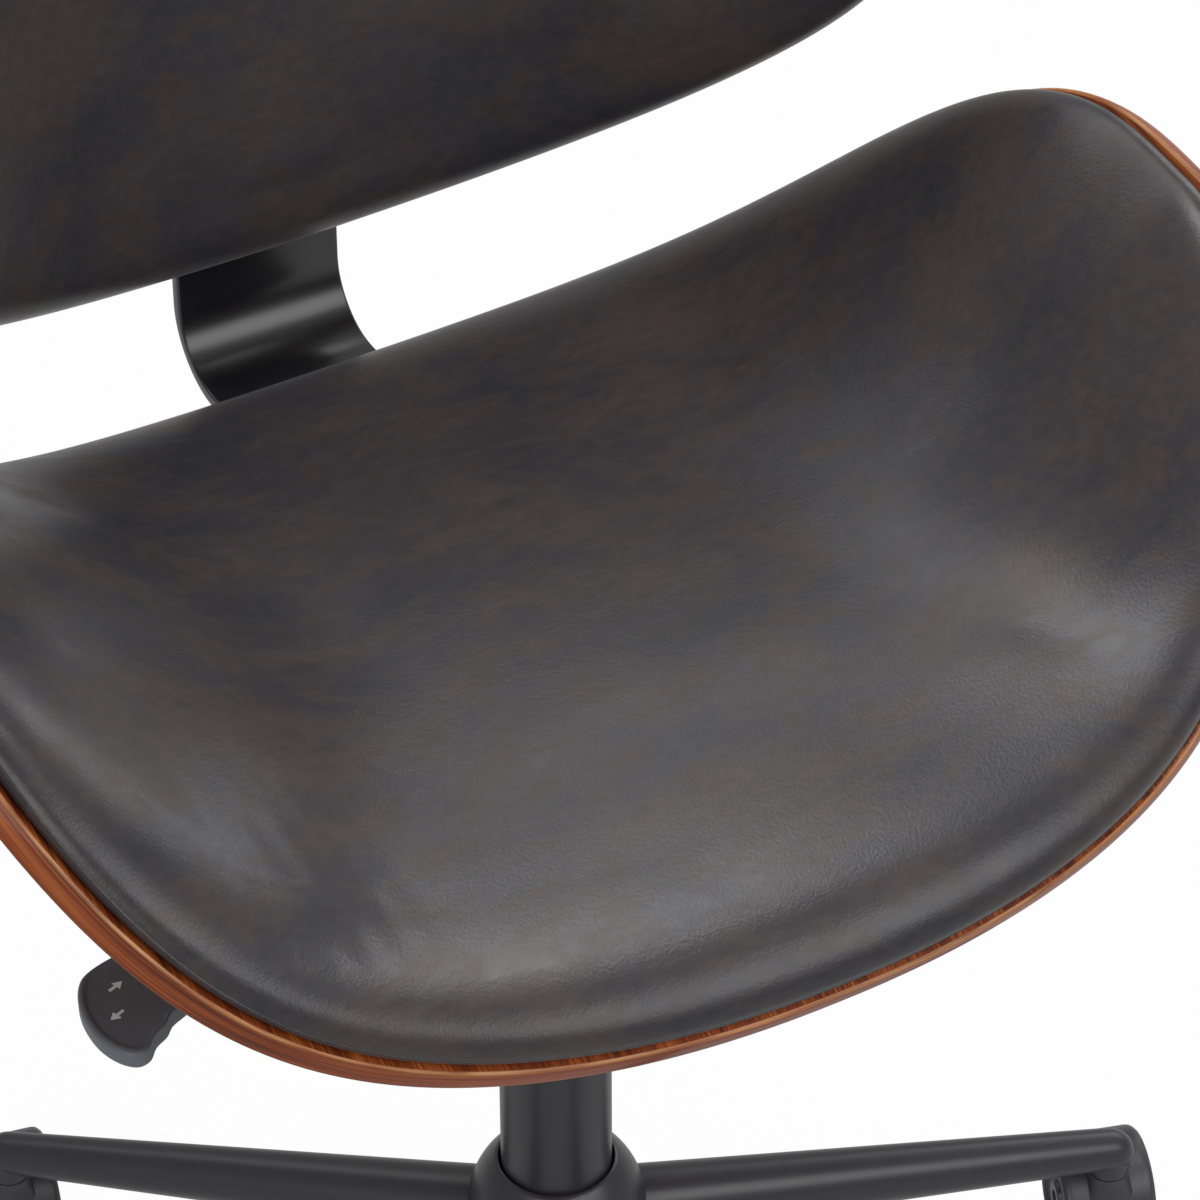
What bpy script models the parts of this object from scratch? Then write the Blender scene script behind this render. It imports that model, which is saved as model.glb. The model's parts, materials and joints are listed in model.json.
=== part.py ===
"""Rolling chair: a bent-ply seat and back with glued pads on a five-leg swivel base.

Every piece is an object of its own. Lengths are metres, Z is up and the front is -Y.
The origin is on the floor under the middle of the whole chair.
"""
import math

import bmesh
import bpy
from mathutils import Matrix, Vector

# Squares across each panel's mesh, the same for a shell and its pad so that they nest
SEAT_CELLS = 15
BACK_CELLS = 13

# Fits
GAP = 0.0003          # between pieces that are fastened to each other
RUN = 0.00008         # between a shaft and the hole that it turns or slides in

# Seat shell, measured at the rim of its upper face
SEAT_HALF_WIDTH = 0.2999
SEAT_FRONT = 0.2031
SEAT_REAR = 0.2191
SEAT_MIDDLE_Y = -0.0281
SEAT_FRONT_POWER = 2.26
SEAT_REAR_POWER = 2.85
SEAT_RIM_Z = 0.5022
SEAT_RIM_WAVE = (0.0254, 0.0720, 0.0127, 0.0129)
SEAT_CORE = 0.28
SEAT_BEND_POWER = 2.07
SEAT_LIP_POWER = 3.11
PLY = 0.0120

# Seat pad
SEAT_PAD_INSET = 0.0030
SEAT_PAD_SHOULDER = 0.0133
SEAT_PAD_CROWN = 0.0270
PAD_FOOT_LIFT = 0.0013

# Back shell, measured at the front face of the ply
BACK_HALF_WIDTH = 0.2657
BACK_LOWER = 0.1262
BACK_UPPER = 0.1650
BACK_LOWER_POWER = 1.92
BACK_UPPER_POWER = 2.35
BACK_BEND_RADIUS = 0.3337
BACK_MIDDLE_Z = 0.6239
BACK_LEAN = math.radians(8.0)
BACK_PAD_INSET = 0.0020
BACK_PAD_SHOULDER = 0.0209
BACK_PAD_CROWN = 0.0270

# Steel strap between the seat and the back
BAR_WIDTH = 0.0800
BAR_THICK = 0.0060
BAR_FACE_Y = 0.2616
BAR_BEND = 0.0300
BAR_FRONT_Y = 0.0440
SPACER_THICK = 0.0080
SPACER_INSET = 0.0080
SPACER_REAR_Y = 0.1480
BAR_LEAN_Z = 0.5150
BAR_LEAN_BEND = 0.0600
BAR_TOP = 0.6600
BAR_CORNER = 0.0150

# Button-head screws
SCREW_R = 0.0030
SCREW_HEAD_R = 0.0068
SCREW_HEAD_H = 0.0038
SCREW_BITE = 0.0080
PLATE_SCREWS = ((-0.058, -0.066), (0.058, -0.066), (-0.058, 0.020), (0.058, 0.020))
BAR_SCREWS = ((-0.022, 0.068), (0.022, 0.068), (-0.022, 0.128), (0.022, 0.128))
BACK_SCREWS = ((-0.022, 0.562), (0.022, 0.562), (-0.022, 0.632), (0.022, 0.632))

# Seat plate and lift socket
PLATE_HALF_X = 0.0780
PLATE_Y = (-0.0860, 0.0400)
PLATE_THICK = 0.0040
PLATE_CORNER = 0.0180
SOCKET_R = 0.0235
SOCKET_BOTTOM = 0.3710
SOCKET_CHAMBER_R = 0.0150

# Gas lift
TUBE_R = 0.0250
TUBE_WALL = 0.0020
TUBE_BOTTOM = 0.0480
TUBE_TOP = 0.2960
CYLINDER_R = 0.0140
CYLINDER_TOP = 0.4105
CYLINDER_BOTTOM = 0.1180
TAPER_TOP_R = 0.0134
PISTON_R = 0.0050
PISTON_TOP = 0.3300
PISTON_FOOT_R = 0.0150
PISTON_FOOT_H = 0.0050
BUSH_DEPTH = 0.0420
BUSH_LIP = 0.0045
BUTTON_R = 0.0042
BUTTON_RISE = 0.0052
BUTTON_DEPTH = 0.0050

# Lever
LEVER_YAW = math.radians(18.9)
LEVER_TILT = math.radians(1.9)
LEVER_R = 0.0040
LEVER_ARM = 0.0340
LEVER_AXIS_Z = (CYLINDER_TOP + BUTTON_RISE + GAP + LEVER_R
                - LEVER_ARM * math.sin(LEVER_TILT))
LEVER_REACH = 0.1900
LEVER_EYE_R = 0.0065
LEVER_EYE_W = 0.0110
PIN_R = 0.0024
EAR_THICK = 0.0030
PADDLE_THICK = 0.0090
# The paddle's outline, (out from the pivot, across), from its neck round the rear corner to
# the hooked front corner and back over two finger hollows
PADDLE_OUTLINE = (
    (0.166, -0.008), (0.180, -0.0125), (0.196, -0.0205), (0.212, -0.0232), (0.2215, -0.0205),
    (0.2310, -0.0100), (0.2370, 0.0040), (0.2380, 0.0160), (0.2350, 0.0245), (0.2290, 0.0262),
    (0.2220, 0.0228), (0.2150, 0.0218), (0.2090, 0.0192), (0.2010, 0.0188), (0.1910, 0.0180),
    (0.1790, 0.0120), (0.166, 0.008),
)

# Hub and legs
HUB_BALL_R = 0.0405
HUB_BALL_Z = 0.1156
HUB_BOTTOM = 0.0810
HUB_LIP_R = 0.0272
LEG_COUNT = 5
LEG_START = math.radians(60.0)
LEG_INNER_R = 0.0170
LEG_TIP_R = 0.0100
LEG_AXIS_Z = (0.1049, 0.0670)
LEG_REACH = (0.0410, 0.2720)
LEG_ROUND = 0.0110
LEG_SOCKET_R = 0.0096

# Casters
CASTER_H = 0.0540
CASTER_TRAIL = 0.0160
CASTER_YAWS = tuple(math.radians(a) for a in (83.0, 78.0, 64.0, 101.0, 72.0))
STEM_R = 0.0055
STEM_UP = 0.0135
WHEEL_R = 0.0250
WHEEL_W = 0.0170
WHEEL_INSIDE = 0.0046
AXLE_R = 0.0030
HOOD_R = 0.0285
HOOD_THICK = 0.0022
HOOD_HALF_W = WHEEL_INSIDE + WHEEL_W + 0.0004
WEB_HALF_W = 0.0040
WEB_R = 0.0215


def clear_scene():
    """Empty the start scene and return the part collection and the cutter collection."""
    for obj in list(bpy.data.objects):
        bpy.data.objects.remove(obj, do_unlink=True)
    chair = bpy.data.collections.new("rolling_chair")
    cutters = bpy.data.collections.new("cutters")
    bpy.context.scene.collection.children.link(chair)
    bpy.context.scene.collection.children.link(cutters)
    return chair, cutters


CHAIR, CUTTERS = clear_scene()


def to_linear(value):
    """One sRGB channel as linear light."""
    return value / 12.92 if value <= 0.04045 else ((value + 0.055) / 1.055) ** 2.4


def finish(name, colour, roughness, metallic=0.0):
    """A plain surface of one colour, given as a hex number."""
    material = bpy.data.materials.new(name)
    material.use_nodes = True
    shader = material.node_tree.nodes["Principled BSDF"]
    channels = ((colour >> 16) & 255, (colour >> 8) & 255, colour & 255)
    rgba = tuple(to_linear(c / 255.0) for c in channels) + (1.0,)
    shader.inputs["Base Color"].default_value = rgba
    shader.inputs["Roughness"].default_value = roughness
    shader.inputs["Metallic"].default_value = metallic
    material.diffuse_color = rgba
    return material


LEATHER = finish("dark_brown_leather", 0x3A3330, 0.48)
WALNUT = finish("walnut_ply", 0x7A3C22, 0.32)
BLACK_STEEL = finish("satin_black_steel", 0x1A1A1D, 0.38, 0.6)
GREY_STEEL = finish("dark_grey_paint", 0x35343A, 0.42, 0.3)
BLACK_PLASTIC = finish("black_plastic", 0x2A2A2C, 0.50)
GREY_NYLON = finish("grey_nylon", 0x3C3B40, 0.45)
CHROME = finish("bright_steel", 0xB8B8BC, 0.18, 1.0)
ZINC = finish("zinc_steel", 0x8C8C90, 0.35, 1.0)


def add(name, bm, material, location=(0.0, 0.0, 0.0), rotation=(0.0, 0.0, 0.0), parent=None):
    """Make a named piece from a bmesh at a place given in its parent's frame."""
    mesh = bpy.data.meshes.new(name)
    bm.to_mesh(mesh)
    bm.free()
    return add_mesh(name, mesh, material, location, rotation, parent)


def add_mesh(name, mesh, material, location=(0.0, 0.0, 0.0), rotation=(0.0, 0.0, 0.0),
             parent=None):
    """Make a named piece from a mesh that is ready."""
    mesh.materials.clear()
    mesh.materials.append(material)
    obj = bpy.data.objects.new(name, mesh)
    CHAIR.objects.link(obj)
    obj.parent = parent
    obj.location = location
    obj.rotation_euler = rotation
    return obj


def lathe(profile, steps):
    """Turn an outline of (radius, height) pairs round Z into a closed solid."""
    bm = bmesh.new()
    rings = []
    for radius, height in profile:
        if radius == 0.0:
            rings.append([bm.verts.new((0.0, 0.0, height))] * steps)
            continue
        turns = [math.tau * k / steps for k in range(steps)]
        rings.append([bm.verts.new((radius * math.cos(t), radius * math.sin(t), height))
                      for t in turns])
    pairs = list(zip(rings, rings[1:]))
    if profile[0][0] > 0.0:
        pairs.append((rings[-1], rings[0]))
    for lower, upper in pairs:
        for k in range(steps):
            n = (k + 1) % steps
            corners = []
            for vert in (lower[k], lower[n], upper[n], upper[k]):
                if vert not in corners:
                    corners.append(vert)
            if len(corners) > 2:
                bm.faces.new(corners)
    bmesh.ops.recalc_face_normals(bm, faces=bm.faces)
    return bm


def prism(outline, bottom, top):
    """A flat piece with a given plan outline."""
    bm = bmesh.new()
    lower = [bm.verts.new((x, y, bottom)) for x, y in outline]
    upper = [bm.verts.new((x, y, top)) for x, y in outline]
    bm.faces.new(lower)
    bm.faces.new(upper)
    for k in range(len(outline)):
        n = (k + 1) % len(outline)
        bm.faces.new((lower[k], lower[n], upper[n], upper[k]))
    bmesh.ops.recalc_face_normals(bm, faces=bm.faces)
    return bm


def bar_mesh(stations, half_width):
    """A strap through stations of (inner point, outer point) in the YZ plane.

    half_width gives the half width at each station."""
    bm = bmesh.new()
    sections = []
    for (inner, outer), half in zip(stations, half_width):
        sections.append([
            bm.verts.new((-half, inner[0], inner[1])), bm.verts.new((half, inner[0], inner[1])),
            bm.verts.new((half, outer[0], outer[1])), bm.verts.new((-half, outer[0], outer[1])),
        ])
    for first, second in zip(sections, sections[1:]):
        for k in range(4):
            n = (k + 1) % 4
            bm.faces.new((first[k], first[n], second[n], second[k]))
    bm.faces.new(sections[0])
    bm.faces.new(sections[-1])
    bmesh.ops.recalc_face_normals(bm, faces=bm.faces)
    return bm


def cylinder(radius, start, end, steps):
    """A plain cylinder between two points."""
    start = Vector(start)
    end = Vector(end)
    along = end - start
    bm = bmesh.new()
    bmesh.ops.create_cone(bm, cap_ends=True, segments=steps, radius1=radius, radius2=radius,
                          depth=along.length)
    turn = Vector((0.0, 0.0, 1.0)).rotation_difference(along.normalized()).to_matrix().to_4x4()
    bmesh.ops.transform(bm, matrix=Matrix.Translation((start + end) / 2) @ turn, verts=bm.verts)
    return bm


def box(low, high):
    """A block between two corners."""
    bm = bmesh.new()
    bmesh.ops.create_cube(bm, size=1.0)
    low = Vector(low)
    high = Vector(high)
    size = high - low
    bmesh.ops.scale(bm, vec=size, verts=bm.verts)
    bmesh.ops.translate(bm, vec=(low + high) / 2, verts=bm.verts)
    return bm


def to_mesh(bm, name):
    """Turn a bmesh into a mesh and free it."""
    mesh = bpy.data.meshes.new(name)
    bm.to_mesh(mesh)
    bm.free()
    return mesh


def combined(base, tools):
    """Apply a list of (operation, bmesh) steps to a bmesh and return the finished mesh."""
    body = bpy.data.objects.new("blank", to_mesh(base, "blank"))
    CUTTERS.objects.link(body)
    helpers = []
    for operation, tool in tools:
        helper = bpy.data.objects.new("cutter", to_mesh(tool, "cutter"))
        helper.hide_render = True
        helper.display_type = "WIRE"
        CUTTERS.objects.link(helper)
        helpers.append(helper)
        step = body.modifiers.new(operation.lower(), "BOOLEAN")
        step.operation = operation
        step.solver = "EXACT"
        step.object = helper
    depsgraph = bpy.context.evaluated_depsgraph_get()
    depsgraph.update()
    mesh = bpy.data.meshes.new_from_object(body.evaluated_get(depsgraph))
    for obj in helpers + [body]:
        bpy.data.objects.remove(obj, do_unlink=True)
    return mesh


def signed_power(value, power):
    """A power that keeps the sign."""
    return math.copysign(abs(value) ** power, value)


class SeatPanel:
    """The upper face of the seat shell as a surface of (share of the way out, angle)."""

    @staticmethod
    def rim(angle):
        """The rim point at an angle, 0 at +X and a quarter turn at the rear."""
        front = math.sin(angle) < 0.0
        power = SEAT_FRONT_POWER if front else SEAT_REAR_POWER
        depth = SEAT_FRONT if front else SEAT_REAR
        wave = SEAT_RIM_WAVE
        return Vector((
            SEAT_HALF_WIDTH * signed_power(math.cos(angle), 2.0 / power),
            depth * signed_power(math.sin(angle), 2.0 / power) + SEAT_MIDDLE_Y,
            SEAT_RIM_Z + wave[0] * math.sin(angle) + wave[1] * math.cos(2.0 * angle)
            + wave[2] * math.sin(3.0 * angle) + wave[3] * math.cos(4.0 * angle),
        ))

    @classmethod
    def point(cls, share, angle):
        """A point of the face. The middle is flat and the rest bends toward the rim."""
        rim = cls.rim(angle)
        centre = Vector((0.0, SEAT_MIDDLE_Y, cls.rim(math.pi / 2.0).z))
        toward_front = max(0.0, -math.sin(angle)) ** 2
        power = SEAT_BEND_POWER + (SEAT_LIP_POWER - SEAT_BEND_POWER) * toward_front
        bend = max(0.0, (share - SEAT_CORE) / (1.0 - SEAT_CORE)) ** power
        return Vector((
            share * rim.x,
            centre.y + share * (rim.y - centre.y),
            centre.z + bend * (rim.z - centre.z),
        ))

    side = Vector((0.0, 0.0, 1.0))


class BackPanel:
    """The front face of the back shell as a surface of (share of the way out, angle)."""

    up = Vector((0.0, math.sin(BACK_LEAN), math.cos(BACK_LEAN)))
    rearward = Vector((0.0, math.cos(BACK_LEAN), -math.sin(BACK_LEAN)))
    side = -rearward

    @classmethod
    def middle(cls):
        """The middle of the face, set so that the rear of the ply meets the strap."""
        strap_y = BAR_FACE_Y + (BACK_MIDDLE_Z - BAR_LEAN_Z) * math.tan(BACK_LEAN)
        return Vector((0.0, strap_y, BACK_MIDDLE_Z)) - cls.rearward * (PLY + GAP)

    @classmethod
    def point(cls, share, angle):
        """A point of the face, bent forward round an upright cylinder."""
        lower = math.sin(angle) < 0.0
        power = BACK_LOWER_POWER if lower else BACK_UPPER_POWER
        height = BACK_LOWER if lower else BACK_UPPER
        x = share * BACK_HALF_WIDTH * signed_power(math.cos(angle), 2.0 / power)
        rise = share * height * signed_power(math.sin(angle), 2.0 / power)
        wrap = BACK_BEND_RADIUS - math.sqrt(BACK_BEND_RADIUS ** 2 - x * x)
        return cls.middle() + Vector((x, 0.0, 0.0)) + rise * cls.up - wrap * cls.rearward


def raised(panel, share, angle, height):
    """A point at a height off a panel, along the face's own normal."""
    step = 0.001
    point = panel.point(share, angle)
    if share < 0.01:
        return point + panel.side * height
    outward = panel.point(share + step, angle) - panel.point(share - step, angle)
    around = panel.point(share, angle + step) - panel.point(share, angle - step)
    normal = outward.cross(around).normalized()
    if normal.dot(panel.side) < 0.0:
        normal = -normal
    return point + normal * height


def grid_to_disc(a, b):
    """Map a square's point to (share, angle) of a disc, row by row without a pole."""
    if abs(a) < 1e-9 and abs(b) < 1e-9:
        return 0.0, 0.0
    if abs(a) >= abs(b):
        share = a
        angle = math.pi / 4.0 * b / a
    else:
        share = b
        angle = math.pi / 2.0 - math.pi / 4.0 * a / b
    if share < 0.0:
        share = -share
        angle += math.pi
    return share, angle


def quilt(panel, cells, front, rings, rear):
    """A closed slab on a panel.

    front and rear are (inset at the rim, height as a function of the share), and rings are
    (inset, height) steps from the front's rim round the edge to the rear's rim."""
    bm = bmesh.new()
    centre = panel.point(0.0, 0.0)

    def vertex(share, angle, inset, height):
        if share > 1.0 - 1e-6:
            share -= inset / (panel.point(1.0, angle) - centre).length
        return bm.verts.new(raised(panel, share, angle, height))

    def sheet(inset, height):
        rows = []
        for i in range(cells + 1):
            row = []
            for j in range(cells + 1):
                share, angle = grid_to_disc(2.0 * i / cells - 1.0, 2.0 * j / cells - 1.0)
                row.append(vertex(share, angle, inset, height(share)))
            rows.append(row)
        for i in range(cells):
            for j in range(cells):
                bm.faces.new((rows[i][j], rows[i + 1][j], rows[i + 1][j + 1], rows[i][j + 1]))
        return rows

    def border(rows):
        last = cells
        loop = [rows[i][0] for i in range(last)]
        loop += [rows[last][j] for j in range(last)]
        loop += [rows[last - i][last] for i in range(last)]
        loop += [rows[0][last - j] for j in range(last)]
        return loop

    def border_angles():
        last = cells
        spots = [(i, 0) for i in range(last)]
        spots += [(last, j) for j in range(last)]
        spots += [(last - i, last) for i in range(last)]
        spots += [(0, last - j) for j in range(last)]
        return [grid_to_disc(2.0 * i / last - 1.0, 2.0 * j / last - 1.0)[1] for i, j in spots]

    loops = [border(sheet(*front))]
    angles = border_angles()
    for inset, height in rings:
        loops.append([vertex(1.0, angle, inset, height) for angle in angles])
    loops.append(border(sheet(*rear)))
    for first, second in zip(loops, loops[1:]):
        for k in range(len(first)):
            n = (k + 1) % len(first)
            bm.faces.new((first[k], first[n], second[n], second[k]))
    bmesh.ops.recalc_face_normals(bm, faces=bm.faces)
    return bm


def shell(panel, cells):
    """A sheet of ply with a lightly rounded edge."""
    ease = 0.0015
    rings = ((ease * 0.3, -ease * 0.3), (0.0, -ease), (0.0, ease - PLY),
             (ease * 0.3, ease * 0.3 - PLY))
    return quilt(panel, cells, (ease, lambda share: 0.0), rings, (ease, lambda share: -PLY))


def pad(panel, cells, inset, shoulder, crown):
    """A padded cover: drawn in at the foot, bulging at the side, crowned on the face."""
    def face(share):
        return shoulder + (crown - shoulder) * (1.0 - share ** 6)

    rings = ((inset + 0.0022, shoulder * 0.86), (inset, shoulder * 0.52),
             (inset + 0.0006, shoulder * 0.22))
    def foot(share):
        return GAP if share < 0.98 else GAP + PAD_FOOT_LIFT

    return quilt(panel, cells, (inset + 0.0062, face), rings, (inset + 0.0022, foot))


def screw_mesh(length):
    """A button-head screw whose head's seat is at z = 0 and whose shank points up."""
    r = SCREW_HEAD_R
    h = SCREW_HEAD_H
    return to_mesh(lathe(
        ((0.0, -h * 0.62), (r * 0.42, -h), (r * 0.84, -h * 0.70), (r, 0.0), (SCREW_R, 0.0),
         (SCREW_R, length), (0.0, length)), 12), "screw")


# Heights under the seat that follow from the shell
SHELL_UNDER_Z = SeatPanel.point(0.0, 0.0).z - PLY
SPACER_TOP_Z = SHELL_UNDER_Z - GAP
STRAP_TOP_Z = SPACER_TOP_Z - SPACER_THICK - GAP
PLATE_TOP_Z = SHELL_UNDER_Z - GAP
PLATE_BOTTOM_Z = PLATE_TOP_Z - PLATE_THICK
PLATE_SCREW_LENGTH = PLATE_THICK + 2.0 * GAP + SCREW_BITE
BACK_SCREW_LENGTH = BAR_THICK + 2.0 * GAP + SCREW_BITE
STRAP_SCREW_LENGTH = BACK_SCREW_LENGTH + SPACER_THICK + GAP


def drill(spots, radius, bottom, top, steps=12):
    """Upright hole tools at given spots."""
    bm = bmesh.new()
    for x, y in spots:
        piece = cylinder(radius, (x, y, bottom), (x, y, top), steps)
        mesh = to_mesh(piece, "drill")
        bm.from_mesh(mesh)
        bpy.data.meshes.remove(mesh)
    return bm


def back_spot(x, z):
    """A place on the strap's front face at a given height, and the strap's outward side."""
    rise = z - BAR_LEAN_Z
    point = Vector((x, BAR_FACE_Y + rise * math.tan(BACK_LEAN), z))
    return point, BackPanel.rearward


def back_drill(spots, radius, deep, out, steps=12):
    """Hole tools square to the leaning part of the strap."""
    bm = bmesh.new()
    for x, z in spots:
        point, rearward = back_spot(x, z)
        piece = cylinder(radius, point - rearward * deep, point + rearward * out, steps)
        mesh = to_mesh(piece, "drill")
        bm.from_mesh(mesh)
        bpy.data.meshes.remove(mesh)
    return bm


def build_seat():
    """The ply seat with its pad."""
    blank = shell(SeatPanel, SEAT_CELLS)
    holes = drill(PLATE_SCREWS + BAR_SCREWS, SCREW_R + GAP, SHELL_UNDER_Z - 0.004,
                  SHELL_UNDER_Z + SCREW_BITE + 0.002)
    seat_shell = add_mesh("seat_shell", combined(blank, [("DIFFERENCE", holes)]), WALNUT)
    add("seat_pad", pad(SeatPanel, SEAT_CELLS, SEAT_PAD_INSET, SEAT_PAD_SHOULDER, SEAT_PAD_CROWN),
        LEATHER)
    return seat_shell


def build_back():
    """The ply back with its pad."""
    blank = shell(BackPanel, BACK_CELLS)
    holes = back_drill(BACK_SCREWS, SCREW_R + GAP, SCREW_BITE + 0.002, 0.004)
    add_mesh("back_shell", combined(blank, [("DIFFERENCE", holes)]), WALNUT)
    add("back_pad", pad(BackPanel, BACK_CELLS, BACK_PAD_INSET, BACK_PAD_SHOULDER, BACK_PAD_CROWN),
        LEATHER)


def strap_path():
    """Stations along the strap: its upper, then front face, with the other face's point."""
    stations = []

    def station(y, z, side_y, side_z, half):
        other = (y + side_y * BAR_THICK, z + side_z * BAR_THICK)
        stations.append((((y, z), other), half))

    half = BAR_WIDTH / 2.0
    round_steps = 4

    def narrowed(t):
        return half - BAR_CORNER * (1.0 - math.sin(t * math.pi / 2.0))

    for k in range(round_steps + 1):
        t = k / round_steps
        y = BAR_FRONT_Y + BAR_CORNER * (1.0 - math.cos(t * math.pi / 2.0))
        station(y, STRAP_TOP_Z, 0.0, -1.0, narrowed(t))
    centre_y = BAR_FACE_Y - BAR_BEND
    centre_z = STRAP_TOP_Z + BAR_BEND
    bend_steps = 10
    for k in range(bend_steps + 1):
        t = k / bend_steps * math.pi / 2.0
        station(centre_y + BAR_BEND * math.sin(t), centre_z - BAR_BEND * math.cos(t),
                math.sin(t), -math.cos(t), half)
    lean_steps = 4
    start_z = BAR_LEAN_Z - BAR_LEAN_BEND * math.tan(BACK_LEAN / 2.0)
    for k in range(lean_steps + 1):
        t = k / lean_steps * BACK_LEAN
        station(BAR_FACE_Y + BAR_LEAN_BEND * (1.0 - math.cos(t)),
                start_z + BAR_LEAN_BEND * math.sin(t), math.cos(t), -math.sin(t), half)
    for k in range(round_steps + 1):
        t = k / round_steps
        z = BAR_TOP - BAR_CORNER * (1.0 - math.sin(t * math.pi / 2.0))
        y = BAR_FACE_Y + (z - BAR_LEAN_Z) * math.tan(BACK_LEAN)
        station(y, z, math.cos(BACK_LEAN), -math.sin(BACK_LEAN),
                half - BAR_CORNER * (1.0 - math.cos(t * math.pi / 2.0)))
    return stations


def build_spacer():
    """The block that holds the strap clear of the seat."""
    start = BAR_FRONT_Y + SPACER_INSET
    half = BAR_WIDTH / 2.0 - SPACER_INSET
    outline = rounded_outline(half, (start, SPACER_REAR_Y), BAR_CORNER * 0.6, 4)
    holes = drill(BAR_SCREWS, SCREW_R + GAP, STRAP_TOP_Z - 0.01, SPACER_TOP_Z + 0.01)
    block = prism(outline, STRAP_TOP_Z + GAP, SPACER_TOP_Z)
    add_mesh("strap_spacer", combined(block, [("DIFFERENCE", holes)]), BLACK_PLASTIC)


def build_strap():
    """The flat steel strap, its holes and its screws."""
    stations = strap_path()
    blank = bar_mesh([s[0] for s in stations], [s[1] for s in stations])
    seat_holes = drill(BAR_SCREWS, SCREW_R + GAP, STRAP_TOP_Z - 0.02, STRAP_TOP_Z + 0.01)
    back_holes = back_drill(BACK_SCREWS, SCREW_R + GAP, 0.01, 0.02)
    mesh = combined(blank, [("DIFFERENCE", seat_holes), ("DIFFERENCE", back_holes)])
    add_mesh("back_strap", mesh, BLACK_STEEL)
    for index, (x, y) in enumerate(BAR_SCREWS):
        add_mesh(f"strap_screw_{index + 1}", screw_mesh(STRAP_SCREW_LENGTH), ZINC,
                 (x, y, STRAP_TOP_Z - BAR_THICK - GAP))
    for index, (x, z) in enumerate(BACK_SCREWS):
        point, rearward = back_spot(x, z)
        place = point + rearward * (BAR_THICK + GAP)
        lean = (-rearward).to_track_quat("Z", "X").to_euler()
        add_mesh(f"back_screw_{index + 1}", screw_mesh(BACK_SCREW_LENGTH), ZINC, place, lean)


def rounded_outline(half_x, y_range, radius, steps):
    """The plan of a plate with round corners."""
    outline = []
    corners = ((half_x - radius, y_range[1] - radius, 0.0),
               (-half_x + radius, y_range[1] - radius, math.pi / 2.0),
               (-half_x + radius, y_range[0] + radius, math.pi),
               (half_x - radius, y_range[0] + radius, 1.5 * math.pi))
    for x, y, start in corners:
        for k in range(steps + 1):
            t = start + k / steps * math.pi / 2.0
            outline.append((x + radius * math.cos(t), y + radius * math.sin(t)))
    return outline


def build_plate():
    """The seat plate, the socket for the lift and the lever's bracket."""
    outline = rounded_outline(PLATE_HALF_X, PLATE_Y, PLATE_CORNER, 4)
    holes = drill(PLATE_SCREWS, SCREW_R + GAP, PLATE_BOTTOM_Z - 0.01, PLATE_TOP_Z + 0.01)
    plate = combined(prism(outline, PLATE_BOTTOM_Z, PLATE_TOP_Z), [("DIFFERENCE", holes)])
    add_mesh("seat_plate", plate, BLACK_STEEL)
    for index, (x, y) in enumerate(PLATE_SCREWS):
        add_mesh(f"plate_screw_{index + 1}", screw_mesh(PLATE_SCREW_LENGTH), ZINC,
                 (x, y, PLATE_BOTTOM_Z - GAP))
    top = PLATE_BOTTOM_Z - GAP
    taper_low = CYLINDER_R + GAP
    socket = lathe((
        (taper_low + 0.001, SOCKET_BOTTOM), (SOCKET_R - 0.001, SOCKET_BOTTOM),
        (SOCKET_R, SOCKET_BOTTOM + 0.001), (SOCKET_R, top), (SOCKET_CHAMBER_R, top),
        (SOCKET_CHAMBER_R, CYLINDER_TOP + 0.001), (TAPER_TOP_R + GAP, CYLINDER_TOP + 0.001),
        (taper_low, SOCKET_BOTTOM + 0.004)), 24)
    slot = box((0.0, -LEVER_R - 0.0016, CYLINDER_TOP + 0.0011),
               (0.04, LEVER_R + 0.0016, top + 0.01))
    turn = Matrix.Rotation(math.pi + LEVER_YAW, 4, "Z")
    bmesh.ops.transform(slot, matrix=turn, verts=slot.verts)
    add_mesh("lift_socket", combined(socket, [("DIFFERENCE", slot)]), BLACK_STEEL)


def lever_frame():
    """Where the lever turns and how it is turned from lying along +X."""
    yaw = math.pi + LEVER_YAW
    pivot = Vector((LEVER_ARM * math.cos(yaw), LEVER_ARM * math.sin(yaw), LEVER_AXIS_Z))
    return pivot, (0.0, LEVER_TILT, yaw)


def smooth_outline(points, cuts):
    """Points on a curve through the given ones, open from the last to the first."""
    result = []
    count = len(points)
    for k in range(count - 1):
        p0 = Vector(points[max(k - 1, 0)])
        p1 = Vector(points[k])
        p2 = Vector(points[k + 1])
        p3 = Vector(points[min(k + 2, count - 1)])
        for c in range(cuts):
            t = c / cuts
            result.append(tuple(0.5 * (2.0 * p1 + (p2 - p0) * t
                                       + (2.0 * p0 - 5.0 * p1 + 4.0 * p2 - p3) * t * t
                                       + (3.0 * p1 - p0 - 3.0 * p2 + p3) * t ** 3)))
    result.append(tuple(points[-1]))
    return result


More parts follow.
